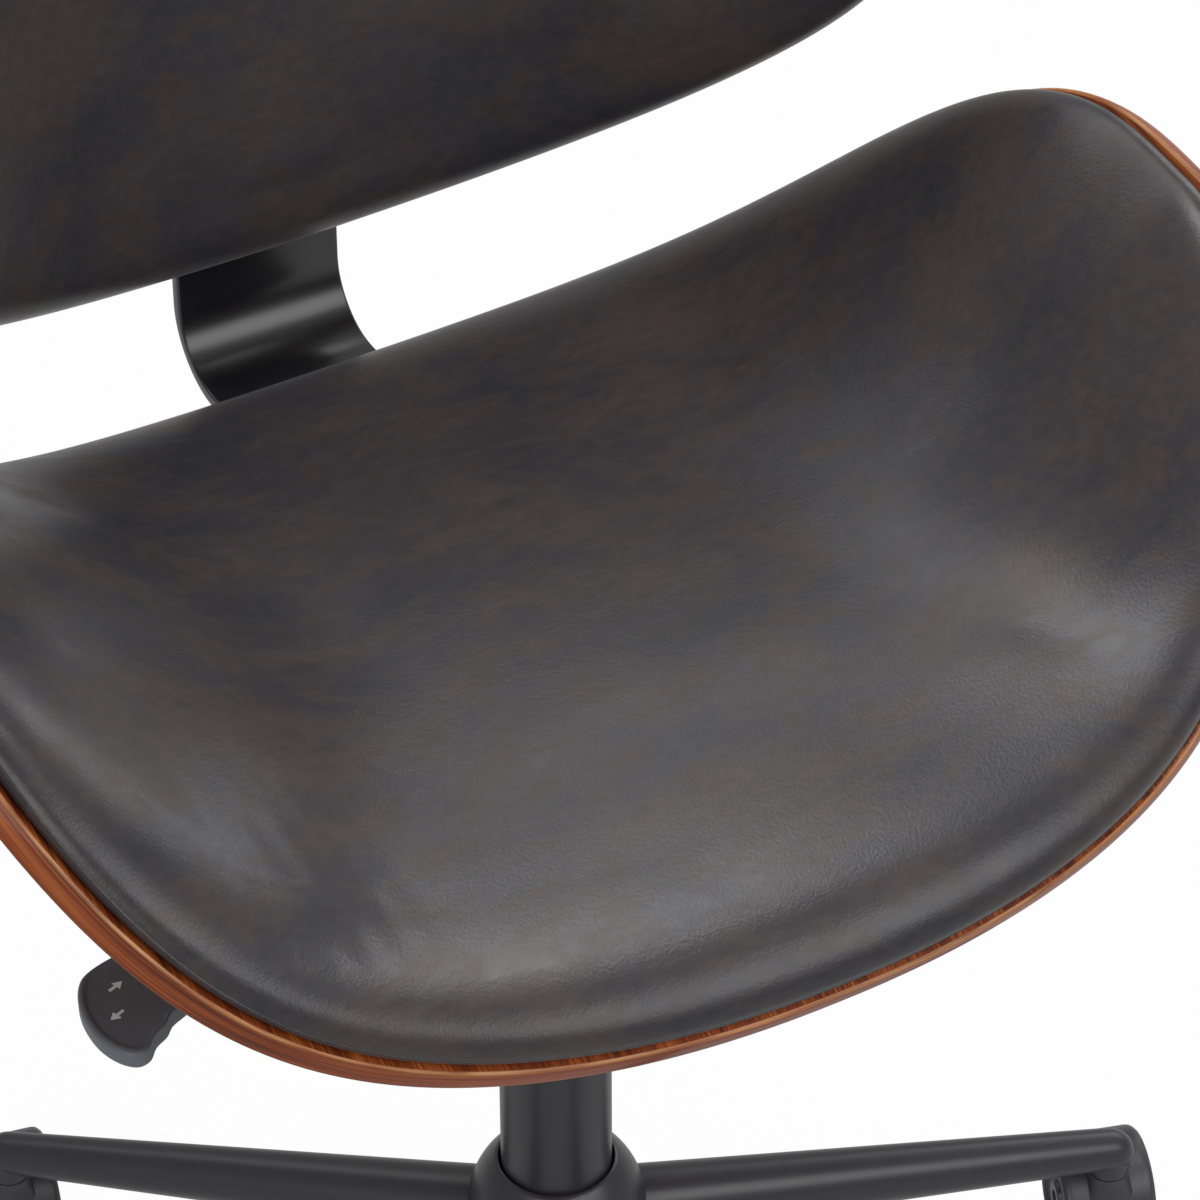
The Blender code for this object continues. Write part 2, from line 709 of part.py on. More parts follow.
def build_lever():
    """The sprung lift lever: a rod with an eye, a pin, two ears and a paddle."""
    pivot, turn = lever_frame()
    rod = cylinder(LEVER_R, (-LEVER_ARM + 0.003, 0.0, 0.0), (LEVER_REACH, 0.0, 0.0), 14)
    eye = cylinder(LEVER_EYE_R, (0.0, -LEVER_EYE_W / 2.0, 0.0), (0.0, LEVER_EYE_W / 2.0, 0.0),
                   20)
    hole = cylinder(PIN_R + RUN, (0.0, -0.02, 0.0), (0.0, 0.02, 0.0), 24)
    rod_mesh = combined(rod, [("UNION", eye), ("DIFFERENCE", hole)])
    rod_obj = add_mesh("lever_rod", rod_mesh, ZINC, pivot, turn)

    outline = smooth_outline(PADDLE_OUTLINE, 2)
    half = PADDLE_THICK / 2.0
    bm = bmesh.new()
    inner = Vector((0.205, 0.0))
    loops = []
    for drawn, z in ((0.90, -half), (0.98, -half * 0.72), (1.0, 0.0), (0.98, half * 0.72),
                     (0.93, half)):
        loops.append([bm.verts.new((inner.x + (x - inner.x) * drawn,
                                    inner.y + (y - inner.y) * drawn, z)) for x, y in outline])
    for first, second in zip(loops, loops[1:]):
        for k in range(len(first)):
            n = (k + 1) % len(first)
            bm.faces.new((first[k], first[n], second[n], second[k]))
    bm.faces.new(loops[0])
    bm.faces.new(loops[-1])
    bmesh.ops.recalc_face_normals(bm, faces=bm.faces)
    bore = cylinder(LEVER_R + GAP, (0.15, 0.0, 0.0), (LEVER_REACH + GAP, 0.0, 0.0), 14)
    paddle = combined(bm, [("DIFFERENCE", bore)])
    add_mesh("lever_paddle", paddle, BLACK_PLASTIC, parent=rod_obj)

    ear_in = LEVER_EYE_W / 2.0 + 0.0004
    ear_top = PLATE_BOTTOM_Z - GAP - pivot.z
    pin_half = ear_in + EAR_THICK + 0.0010
    yaw_only = (0.0, 0.0, turn[2])
    pin = cylinder(PIN_R, (0.0, -pin_half, 0.0), (0.0, pin_half, 0.0), 24)
    add("lever_pin", pin, ZINC, pivot, yaw_only)
    ear_front = LEVER_ARM - SOCKET_R - GAP - 0.0005
    for name, sign in (("lever_ear_rear", 1.0), ("lever_ear_front", -1.0)):
        low = min(sign * ear_in, sign * (ear_in + EAR_THICK))
        ear = box((-ear_front, low, -0.0062), (0.0085, low + EAR_THICK, ear_top))
        ear_hole = cylinder(PIN_R + GAP, (0.0, -0.03, 0.0), (0.0, 0.03, 0.0), 24)
        add_mesh(name, combined(ear, [("DIFFERENCE", ear_hole)]), BLACK_STEEL, pivot, yaw_only)


def build_lift():
    """The gas lift: outer tube, bush, turning piston, sliding cylinder and its button."""
    inner = TUBE_R - TUBE_WALL
    add("lift_tube", lathe((
        (0.0, TUBE_BOTTOM), (TUBE_R - 0.002, TUBE_BOTTOM), (TUBE_R, TUBE_BOTTOM + 0.002),
        (TUBE_R, TUBE_TOP - 0.0006), (TUBE_R - 0.0006, TUBE_TOP), (inner, TUBE_TOP),
        (inner, TUBE_BOTTOM + 0.003), (0.0, TUBE_BOTTOM + 0.003)), 32), GREY_STEEL)
    bore = CYLINDER_R + RUN
    add("guide_bush", lathe((
        (bore, TUBE_TOP - BUSH_DEPTH), (inner - GAP, TUBE_TOP - BUSH_DEPTH),
        (inner - GAP, TUBE_TOP + GAP), (TUBE_R, TUBE_TOP + GAP),
        (TUBE_R, TUBE_TOP + BUSH_LIP - 0.0012), (TUBE_R - 0.0012, TUBE_TOP + BUSH_LIP),
        (bore + 0.0005, TUBE_TOP + BUSH_LIP), (bore, TUBE_TOP + BUSH_LIP - 0.0005)), 32),
        BLACK_PLASTIC)
    foot = TUBE_BOTTOM + 0.003 + RUN
    add("lift_piston", lathe((
        (0.0, foot), (PISTON_FOOT_R, foot), (PISTON_FOOT_R, foot + PISTON_FOOT_H),
        (PISTON_R, foot + PISTON_FOOT_H + 0.001), (PISTON_R, PISTON_TOP - 0.001),
        (PISTON_R - 0.001, PISTON_TOP), (0.0, PISTON_TOP)), 24), CHROME)
    piston_bore = PISTON_R + RUN
    well = BUTTON_R + RUN
    cylinder_blank = lathe((
        (piston_bore, CYLINDER_BOTTOM), (CYLINDER_R - 0.001, CYLINDER_BOTTOM),
        (CYLINDER_R, CYLINDER_BOTTOM + 0.001), (CYLINDER_R, SOCKET_BOTTOM + 0.004),
        (TAPER_TOP_R, CYLINDER_TOP - 0.001), (TAPER_TOP_R - 0.001, CYLINDER_TOP),
        (well, CYLINDER_TOP), (well, CYLINDER_TOP - BUTTON_DEPTH - 0.0036),
        (0.0, CYLINDER_TOP - BUTTON_DEPTH - 0.0036), (0.0, CYLINDER_TOP - 0.014),
        (piston_bore, CYLINDER_TOP - 0.014)), 32)
    add("lift_cylinder", cylinder_blank, BLACK_STEEL)
    add("lift_button", lathe((
        (0.0, -BUTTON_DEPTH), (BUTTON_R, -BUTTON_DEPTH), (BUTTON_R, BUTTON_RISE - 0.0008),
        (BUTTON_R - 0.0008, BUTTON_RISE), (0.0, BUTTON_RISE)), 24), ZINC,
        (0.0, 0.0, CYLINDER_TOP))


def hub_outline(grow):
    """The hub's outer outline from top to bottom, grown by a clearance."""
    ball = HUB_BALL_R
    points = []
    top_angle = math.acos(HUB_LIP_R / ball)
    steps = 5
    for k in range(steps + 1):
        t = top_angle * (1.0 - k / steps)
        points.append(((ball + grow) * math.cos(t), HUB_BALL_Z + (ball + grow) * math.sin(t)))
    points.append((ball * 0.945 + grow, HUB_BALL_Z - 0.0120))
    points.append((ball * 0.850 + grow, HUB_BALL_Z - 0.0215))
    points.append((ball * 0.790 + grow, HUB_BALL_Z - 0.0290))
    return points


def build_base():
    """The hub and five legs with caster sockets."""
    outline = hub_outline(0.0)
    bore = TUBE_R + GAP
    profile = outline + [(outline[-1][0] - 0.001, HUB_BOTTOM), (bore, HUB_BOTTOM),
                         (bore, outline[0][1] - 0.004)]
    hub = add("hub", lathe(profile, 32), GREY_STEEL)

    grown = hub_outline(GAP)
    cutter = [(0.0, grown[0][1])] + grown + [(grown[-1][0], HUB_BOTTOM - 0.02),
                                             (0.0, HUB_BOTTOM - 0.02)]
    slope = (LEG_AXIS_Z[1] - LEG_AXIS_Z[0]) / (LEG_REACH[1] - LEG_REACH[0])
    start = LEG_REACH[0] - 0.012
    stations = [(start, LEG_INNER_R), (LEG_REACH[0], LEG_INNER_R), (0.110, None),
                (0.190, None), (LEG_REACH[1], LEG_TIP_R)]
    for turn, share in ((30.0, 0.90), (55.0, 0.62), (78.0, 0.28)):
        stations.append((LEG_REACH[1] + LEG_ROUND * math.sin(math.radians(turn)),
                         LEG_TIP_R * share))
    bm = bmesh.new()
    sides = 14
    rings = []
    for reach, radius in stations:
        if radius is None:
            share = (reach - LEG_REACH[0]) / (LEG_REACH[1] - LEG_REACH[0])
            radius = LEG_INNER_R + (LEG_TIP_R - LEG_INNER_R) * share
        height = LEG_AXIS_Z[0] + slope * (reach - LEG_REACH[0])
        rings.append([bm.verts.new((reach, radius * math.cos(math.tau * k / sides),
                                    height + radius * math.sin(math.tau * k / sides)))
                      for k in range(sides)])
    for first, second in zip(rings, rings[1:]):
        for k in range(sides):
            n = (k + 1) % sides
            bm.faces.new((first[k], first[n], second[n], second[k]))
    bm.faces.new(rings[0])
    bm.faces.new(rings[-1])
    bmesh.ops.recalc_face_normals(bm, faces=bm.faces)
    tip_z = LEG_AXIS_Z[1]
    socket = cylinder(LEG_SOCKET_R, (LEG_REACH[1], 0.0, CASTER_H + GAP),
                      (LEG_REACH[1], 0.0, tip_z), 16)
    stem_hole = cylinder(STEM_R + RUN, (LEG_REACH[1], 0.0, CASTER_H - 0.01),
                         (LEG_REACH[1], 0.0, CASTER_H + STEM_UP + 0.0010), 24)
    blank = combined(bm, [("DIFFERENCE", lathe(cutter, 32)), ("UNION", socket),
                          ("DIFFERENCE", stem_hole)])
    for index in range(LEG_COUNT):
        angle = LEG_START + math.tau * index / LEG_COUNT
        add_mesh(f"leg_{index + 1}", blank.copy(), GREY_STEEL, rotation=(0.0, 0.0, angle))
    return hub


def caster_body_mesh():
    """A caster's hood, web, neck, stem and axle as one piece, trailing along +X."""
    centre = (CASTER_TRAIL, 0.0, WHEEL_R)
    hood = bmesh.new()
    inner_r = HOOD_R - HOOD_THICK
    first = math.radians(-18.0)
    last = math.radians(172.0)
    steps = 9
    rings = []
    for k in range(steps + 1):
        t = first + (last - first) * k / steps
        ring = []
        for radius, side in ((inner_r, -HOOD_HALF_W), (HOOD_R - 0.0010, -HOOD_HALF_W),
                             (HOOD_R, -HOOD_HALF_W + 0.0030), (HOOD_R, HOOD_HALF_W - 0.0030),
                             (HOOD_R - 0.0010, HOOD_HALF_W), (inner_r, HOOD_HALF_W)):
            ring.append(hood.verts.new((centre[0] + radius * math.cos(t), side,
                                        centre[2] + radius * math.sin(t))))
        rings.append(ring)
    for one, two in zip(rings, rings[1:]):
        for k in range(6):
            n = (k + 1) % 6
            hood.faces.new((one[k], one[n], two[n], two[k]))
    hood.faces.new(rings[0])
    hood.faces.new(rings[-1])
    bmesh.ops.recalc_face_normals(hood, faces=hood.faces)
    web = cylinder(WEB_R, (centre[0], -WEB_HALF_W, centre[2]),
                   (centre[0], WEB_HALF_W, centre[2]), 16)
    rib = box((centre[0] - 0.0100, -WEB_HALF_W + 0.0004, centre[2]),
              (centre[0] + 0.0100, WEB_HALF_W - 0.0004, centre[2] + inner_r + 0.0008))
    neck = cylinder(LEG_SOCKET_R, (0.0, 0.0, CASTER_H - 0.0115), (0.0, 0.0, CASTER_H), 14)
    stem = cylinder(STEM_R, (0.0, 0.0, CASTER_H - 0.003), (0.0, 0.0, CASTER_H + STEM_UP), 12)
    reach = WHEEL_INSIDE + WHEEL_W - 0.003
    axle = cylinder(AXLE_R, (centre[0], -reach, centre[2]), (centre[0], reach, centre[2]), 12)
    steps = [("UNION", neck)]
    for sign in (1.0, -1.0):
        room = cylinder(WHEEL_R + 0.0008, (centre[0], sign * WEB_HALF_W, centre[2]),
                        (centre[0], sign * 0.03, centre[2]), 32)
        steps.append(("DIFFERENCE", room))
    steps += [("UNION", web), ("UNION", rib), ("UNION", stem), ("UNION", axle)]
    return combined(hood, steps)


def wheel_bmesh():
    """A caster wheel with its axle along Z, its inner side at z = 0."""
    r = WHEEL_R
    w = WHEEL_W
    bore = AXLE_R + RUN
    return lathe((
        (bore, 0.0), (r - 0.0020, 0.0), (r - 0.0003, 0.0012), (r, 0.0036), (r, w - 0.0046),
        (r - 0.0010, w - 0.0018), (r - 0.0042, w), (r - 0.0066, w - 0.0016),
        (bore, w - 0.0026)), 20)


def build_casters():
    """Five hooded twin-wheel casters."""
    body_mesh = caster_body_mesh()
    for index in range(LEG_COUNT):
        angle = LEG_START + math.tau * index / LEG_COUNT
        place = (LEG_REACH[1] * math.cos(angle), LEG_REACH[1] * math.sin(angle), 0.0)
        name = f"caster_{index + 1}"
        body = add_mesh(f"{name}_hood", body_mesh.copy(), GREY_NYLON, place,
                        (0.0, 0.0, CASTER_YAWS[index]))
        for side, sign in (("left", 1.0), ("right", -1.0)):
            wheel = wheel_bmesh()
            bmesh.ops.rotate(wheel, matrix=Matrix.Rotation(-sign * math.pi / 2.0, 3, "X"),
                             verts=wheel.verts)
            add(f"{name}_wheel_{side}", wheel, BLACK_PLASTIC,
                (CASTER_TRAIL, sign * WHEEL_INSIDE, WHEEL_R), parent=body)


def stand_on_origin():
    """Move the whole chair so that the origin is under its middle, on the floor."""
    bpy.context.view_layer.update()
    low = Vector((1e9, 1e9, 1e9))
    high = -low
    for obj in CHAIR.objects:
        for vert in obj.data.vertices:
            point = obj.matrix_world @ vert.co
            low = Vector(map(min, low, point))
            high = Vector(map(max, high, point))
    shift = Vector((-(low.x + high.x) / 2.0, -(low.y + high.y) / 2.0, -low.z))
    for obj in CHAIR.objects:
        if obj.parent is None:
            obj.location = obj.location + shift
    bpy.context.view_layer.update()


def main():
    """Build every piece."""
    build_seat()
    build_back()
    build_spacer()
    build_strap()
    build_plate()
    build_lever()
    build_lift()
    build_base()
    build_casters()
    stand_on_origin()


main()
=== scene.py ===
"""The looks of a rolling chair with a winged bent-ply seat and back.

Each sub-assembly is a class that holds its own sizes. Every new surface is worked out with
numpy on a grid of two parameters, in metres, in a frame whose origin is where the gas lift's
axis meets the floor; Z is up and the sitter faces -Y. Bench.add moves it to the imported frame.
"""
from __future__ import annotations

import json
import logging
import math
from dataclasses import dataclass, field
from enum import Enum

import bmesh
import bpy
import numpy as np
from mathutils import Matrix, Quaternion, Vector

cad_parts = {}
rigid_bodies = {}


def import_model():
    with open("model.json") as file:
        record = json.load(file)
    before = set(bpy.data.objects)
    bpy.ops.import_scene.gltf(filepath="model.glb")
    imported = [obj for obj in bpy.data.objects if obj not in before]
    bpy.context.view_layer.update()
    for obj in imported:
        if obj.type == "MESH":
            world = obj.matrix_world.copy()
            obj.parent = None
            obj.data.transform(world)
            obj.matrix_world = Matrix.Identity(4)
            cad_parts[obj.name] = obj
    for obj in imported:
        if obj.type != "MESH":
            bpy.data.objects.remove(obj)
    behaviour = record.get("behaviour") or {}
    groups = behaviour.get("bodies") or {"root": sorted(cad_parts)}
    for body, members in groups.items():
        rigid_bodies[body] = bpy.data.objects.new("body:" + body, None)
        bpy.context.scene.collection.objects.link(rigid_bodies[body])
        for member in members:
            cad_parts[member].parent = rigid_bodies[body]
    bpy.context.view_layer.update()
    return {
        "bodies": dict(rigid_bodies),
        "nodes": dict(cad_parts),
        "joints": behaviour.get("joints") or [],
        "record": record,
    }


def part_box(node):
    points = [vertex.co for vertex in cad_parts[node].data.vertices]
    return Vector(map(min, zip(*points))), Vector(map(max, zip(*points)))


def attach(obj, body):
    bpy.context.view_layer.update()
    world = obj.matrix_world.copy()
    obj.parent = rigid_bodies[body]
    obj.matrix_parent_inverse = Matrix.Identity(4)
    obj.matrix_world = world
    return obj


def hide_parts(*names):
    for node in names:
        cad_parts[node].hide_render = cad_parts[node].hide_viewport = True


LOG = logging.getLogger("rolling_chair")
Array = np.ndarray
Socket = bpy.types.NodeSocket
Tree = bpy.types.NodeTree
QUARTER = math.pi / 2.0
GAP = 0.0003
RUN = 0.00008
BITE = 0.0080
LEAN = math.radians(8.0)
EDGE_U = 3.0
EDGE_V = 5.0
IMAGE_SIDE = 1200.0
SENSOR_MM = 36.0
WHITE = (1.0, 1.0, 1.0, 1.0)


# ---------------------------------------------------------------- colours and nodes
def linear(hex_code: int) -> tuple[float, float, float, float]:
    """Turn an sRGB hex number into linear light.

    Args:
        hex_code: the colour, such as 0x7A3C22.

    Returns:
        The colour as four numbers, opaque.
    """
    parts = np.array([(hex_code >> 16) & 255, (hex_code >> 8) & 255, hex_code & 255]) / 255.0
    light = np.where(parts <= 0.04045, parts / 12.92, ((parts + 0.055) / 1.055) ** 2.4)
    return (*(float(c) for c in light), 1.0)


def per_metre(millimetres: float) -> float:
    """The texture scale at which one feature has this size in millimetres."""
    return 1000.0 / millimetres


def node(tree: Tree, kind: str, links: dict | None = None, **settings: object
         ) -> bpy.types.Node:
    """Add one node.

    Args:
        tree: the node tree that gets it.
        kind: Blender's node type, without the "ShaderNode" before it.
        links: input name or number to a value, to the output socket that feeds it, or to a
            node whose first output feeds it.
        settings: the node's own properties.

    Returns:
        The node.
    """
    made = tree.nodes.new(f"ShaderNode{kind}")
    for key, value in settings.items():
        setattr(made, key, value)
    for key, value in (links or {}).items():
        feed = value.outputs[0] if isinstance(value, bpy.types.Node) else value
        if isinstance(feed, Socket):
            tree.links.new(feed, made.inputs[key])
        else:
            made.inputs[key].default_value = feed
    return made


class Slot(Enum):
    """The record's material slots."""

    LEATHER = "dark_brown_leather"
    WALNUT = "walnut_ply"
    BLACK_STEEL = "satin_black_steel"
    GREY_PAINT = "dark_grey_paint"
    BLACK_PLASTIC = "black_plastic"
    NYLON = "grey_nylon"
    CHROME = "bright_steel"
    ZINC = "zinc_steel"


@dataclass(frozen=True)
class Finish:
    """A surface finish: what the piece is made of and how its surface was made."""

    name: str
    slot: Slot
    colour: int
    roughness: float
    metallic: float = 0.0
    coat: float = 0.0
    coat_roughness: float = 0.1
    specular: float = 0.5
    sheen: float = 0.0
    sheen_roughness: float = 0.4
    relief_mm: float = 0.0
    relief_share: float = 0.0

    def material(self) -> bpy.types.Material:
        """Return this finish's material, made on its first use."""
        found = bpy.data.materials.get(self.name)
        if found is not None:
            return found
        made = bpy.data.materials.new(self.name)
        made.use_nodes = True
        made.diffuse_color = linear(self.colour)
        tree = made.node_tree
        shader = tree.nodes["Principled BSDF"]
        for socket, value in {
                "Base Color": linear(self.colour), "Roughness": self.roughness,
                "Metallic": self.metallic, "Specular IOR Level": self.specular,
                "Coat Weight": self.coat, "Coat Roughness": self.coat_roughness,
                "Sheen Weight": self.sheen, "Sheen Roughness": self.sheen_roughness}.items():
            shader.inputs[socket].default_value = value
        height = self.dress(tree, shader)
        bump = node(tree, "Bump", {"Height": height, "Distance": self.relief_mm / 1000.0,
                                   "Strength": self.relief_share})
        tree.links.new(bump.outputs["Normal"], shader.inputs["Normal"])
        return made

    def dress(self, tree: Tree, shader: bpy.types.Node) -> Socket:
        """Add the finish's own pattern, and return the height that its relief follows."""
        raise NotImplementedError


@dataclass(frozen=True)
class Leather(Finish):
    """Coated upholstery leather: pressed pebble grain, waxed in uneven dark and red-brown
    clouds, with a low satin sheen that opens the colour where light grazes it."""

    deep: int = 0x2A2A2F
    warm: int = 0x463029
    drift_mm: float = 110.0
    drift_m: float = 0.035
    cloud_mm: float = 55.0
    streak_mm: float = 14.0
    fleck_mm: float = 4.0
    grain_mm: float = 1.15
    pore_share: float = 2.3
    stretch: float = 0.5
    stretch_turn: float = math.radians(20.0)
    relief_mm: float = 0.16
    relief_share: float = 0.36

    def dress(self, tree: Tree, shader: bpy.types.Node) -> Socket:
        """Mix three sizes of cloud for the colour and press a cell grain into the surface."""
        place = node(tree, "TexCoord").outputs["Object"]
        drift = node(tree, "TexNoise", {
            "Vector": place, "Scale": per_metre(self.drift_mm), "Detail": 2.0})
        pull = node(tree, "VectorMath", {0: drift.outputs["Color"], 1: (self.drift_m,) * 3},
                    operation="MULTIPLY")
        bent = node(tree, "VectorMath", {0: place, 1: pull}, operation="ADD")
        bent = node(tree, "Mapping", {"Vector": bent, "Rotation": (0.0, 0.0, self.stretch_turn),
                                      "Scale": (self.stretch, 1.0, 1.0)})
        cloud, streak, fleck = (
            node(tree, "TexNoise", {"Vector": bent, "Scale": per_metre(size), "Detail": detail,
                                    "Roughness": rough, "Distortion": warp})
            for size, detail, rough, warp in ((self.cloud_mm, 5.0, 0.62, 0.0),
                                              (self.streak_mm, 7.0, 0.68, 0.7),
                                              (self.fleck_mm, 4.0, 0.5, 0.0)))
        dark = node(tree, "MapRange", {"Value": cloud, "From Min": 0.37, "From Max": 0.63})
        base = node(tree, "Mix", {"Factor": dark, 6: linear(self.deep),
                                  7: linear(self.colour)}, data_type="RGBA")
        rust = node(tree, "MapRange", {"Value": streak, "From Min": 0.50, "From Max": 0.74,
                                       "To Max": 0.60})
        tinted = node(tree, "Mix", {"Factor": rust, 6: base.outputs[2],
                                    7: linear(self.warm)}, data_type="RGBA")
        speck = node(tree, "MapRange", {"Value": fleck, "From Min": 0.35, "From Max": 0.65,
                                        "To Min": 0.88, "To Max": 1.12})
        colour = node(tree, "VectorMath", {0: tinted.outputs[2], "Scale": speck},
                      operation="SCALE")
        tree.links.new(colour.outputs[0], shader.inputs["Base Color"])
        gloss = node(tree, "MapRange", {
            "Value": streak, "From Min": 0.3, "From Max": 0.7,
            "To Min": self.roughness - 0.05, "To Max": self.roughness + 0.06})
        tree.links.new(gloss.outputs[0], shader.inputs["Roughness"])
        cells = node(tree, "TexVoronoi", {"Vector": place, "Scale": per_metre(self.grain_mm)},
                     feature="SMOOTH_F1")
        pores = node(tree, "TexNoise", {
            "Vector": place, "Detail": 3.0,
            "Scale": per_metre(self.grain_mm * self.pore_share)})
        return node(tree, "Math", {0: cells, 1: pores}, operation="ADD").outputs[0]


@dataclass(frozen=True)
class WalnutPly(Finish):
    """Stained walnut veneer on ply under satin lacquer: long red-brown streaks with fine dark
    pores that run with the grain, below a clear coat that keeps a narrow highlight, and a
    painted highlight: a pale line along the top arris, broken into patches."""

    deep: int = 0x5A250E
    light: int = 0xB4632F
    # The pale colour of the painted highlight along the top arris.
    arris_highlight: int = 0xD9A06C
    band_mm: tuple[float, float] = (170.0, 6.5)
    fibre_mm: tuple[float, float] = (102.0, 1.1)
    pore_mm: tuple[float, float] = (26.0, 0.55)
    highlight_patch_mm: tuple[float, float] = (38.0, 3.0)
    # Where the painted highlight starts, is full, fades and ends, in metres down the edge.
    arris_highlight_band_m: tuple[float, ...] = (-0.0001, 0.0004, 0.0013, 0.0025)
    relief_mm: float = 0.05
    relief_share: float = 0.25

    @staticmethod
    def drawn(tree: Tree, size: tuple[float, float], detail: float, seed: float) -> Socket:
        """Noise drawn out along the grain.

        Args:
            tree: the material's nodes.
            size: the length and width of one mark in millimetres.
            detail: how many finer copies it has.
            seed: an offset across the grain that keeps two patterns apart.

        Returns:
            The noise's socket.
        """
        grain = node(tree, "UVMap", uv_map="grain")
        along = node(tree, "Mapping", {
            "Vector": grain, "Location": (seed, seed, 0.0),
            "Scale": (per_metre(size[0]), per_metre(size[1]), 1.0)})
        return node(tree, "TexNoise", {"Vector": along, "Scale": 1.0, "Detail": detail,
                                       "Distortion": 0.35}).outputs[0]

    def dress(self, tree: Tree, shader: bpy.types.Node) -> Socket:
        """Lay broad bands and fine pores along the grain, and paint a patchy pale highlight
        along the arris.
        """
        bands = self.drawn(tree, self.band_mm, 3.0, 0.0)
        fibres = self.drawn(tree, self.fibre_mm, 4.0, 5.3)
        pores = self.drawn(tree, self.pore_mm, 2.0, 11.7)
        tone = node(tree, "Math", {0: bands, 1: fibres}, operation="ADD")
        share = node(tree, "MapRange", {"Value": tone, "From Min": 0.78, "From Max": 1.26})
        broad = node(tree, "ValToRGB", {"Fac": share})
        ramp = broad.color_ramp.elements
        ramp[0].color, ramp[1].color = linear(self.deep), linear(self.light)
        ramp.new(0.5).color = linear(self.colour)
        pit = node(tree, "MapRange", {"Value": pores, "From Min": 0.60, "From Max": 0.74,
                                      "To Max": 0.55})
        colour = node(tree, "Mix", {"Factor": pit, 6: broad.outputs[0],
                                    7: linear(self.deep)}, data_type="RGBA")
        # Painted highlight: a pale band in the top 2.5 mm of the edge, along the arris, in
        # patches, stands in for the lacquer's glint there.
        grain = node(tree, "UVMap", uv_map="grain")
        down = node(tree, "SeparateXYZ", {0: grain}).outputs["Y"]
        highlight_breakup = self.drawn(tree, self.highlight_patch_mm, 3.0, 23.1)
        near, full, fading, far = (EDGE_V + depth for depth in self.arris_highlight_band_m)
        start = node(tree, "MapRange", {"Value": down, "From Min": near, "From Max": full})
        end = node(tree, "MapRange", {"Value": down, "From Min": fading, "From Max": far,
                                      "To Min": 1.0, "To Max": 0.0})
        highlight_patchiness = node(tree, "MapRange", {"Value": highlight_breakup, "From Min": 0.36, "From Max": 0.62,
                                         "To Min": 0.10, "To Max": 0.75})
        line = node(tree, "Math", {0: start, 1: end}, operation="MULTIPLY")
        line = node(tree, "Math", {0: line, 1: highlight_patchiness}, operation="MULTIPLY")
        with_painted_highlight = node(tree, "Mix", {"Factor": line, 6: colour.outputs[2],
                                    7: linear(self.arris_highlight)}, data_type="RGBA")
        tree.links.new(with_painted_highlight.outputs[2], shader.inputs["Base Color"])
        return fibres


@dataclass(frozen=True)
class PowderCoat(Finish):
    """Powder coat baked on steel: an even dark film with a faint orange-peel ripple."""

    peel_mm: float = 1.9
    haze_mm: float = 38.0
    relief_mm: float = 0.05
    relief_share: float = 0.22

    def dress(self, tree: Tree, shader: bpy.types.Node) -> Socket:
        """Ripple the film and vary its gloss slowly."""
        place = node(tree, "TexCoord").outputs["Object"]
        peel, haze = (node(tree, "TexNoise", {"Vector": place, "Detail": detail,
                                              "Scale": per_metre(size)})
                      for size, detail in ((self.peel_mm, 2.0), (self.haze_mm, 3.0)))
        gloss = node(tree, "MapRange", {"Value": haze, "To Min": self.roughness - 0.05,
                                        "To Max": self.roughness + 0.05})
        tree.links.new(gloss.outputs[0], shader.inputs["Roughness"])
        return peel.outputs[0]


@dataclass(frozen=True)
class Moulded(Finish):
    """Moulded plastic, such as ABS or nylon: the mould's spark-eroded grain, which scatters
    the highlight, drawn a little coarser than real so that it shows."""

    grain_mm: float = 0.8
    tone_mm: float = 14.0
    relief_mm: float = 0.06
    relief_share: float = 0.30

    def dress(self, tree: Tree, shader: bpy.types.Node) -> Socket:
        """Grain the surface and vary the tone a little."""
        place = node(tree, "TexCoord").outputs["Object"]
        grain, tone = (node(tree, "TexNoise", {"Vector": place, "Detail": detail,
                                               "Scale": per_metre(size)})
                       for size, detail in ((self.grain_mm, 3.0), (self.tone_mm, 2.0)))
        light = node(tree, "MapRange", {"Value": tone, "To Min": 0.90, "To Max": 1.10})
        colour = node(tree, "VectorMath", {0: linear(self.colour)[:3], "Scale": light},
                      operation="SCALE")
        tree.links.new(colour.outputs[0], shader.inputs["Base Color"])
        return grain.outputs[0]


@dataclass(frozen=True)
class Plated(Finish):
    """Plated or bare steel: zinc or chrome over a turned surface, with faint uneven gloss."""

    metallic: float = 1.0
    cloud_mm: float = 7.0
    mark_mm: float = 0.9
    relief_mm: float = 0.02
    relief_share: float = 0.15

    def dress(self, tree: Tree, shader: bpy.types.Node) -> Socket:
        """Cloud the gloss and leave faint tool marks."""
        place = node(tree, "TexCoord").outputs["Object"]
        cloud = node(tree, "TexNoise", {"Vector": place, "Detail": 4.0,
                                        "Scale": per_metre(self.cloud_mm)})
        gloss = node(tree, "MapRange", {"Value": cloud, "To Min": self.roughness * 0.75,
                                        "To Max": self.roughness * 1.25})
        tree.links.new(gloss.outputs[0], shader.inputs["Roughness"])
        return node(tree, "TexNoise", {"Vector": place, "Scale": per_metre(self.mark_mm),
                                       "Detail": 2.0}).outputs[0]


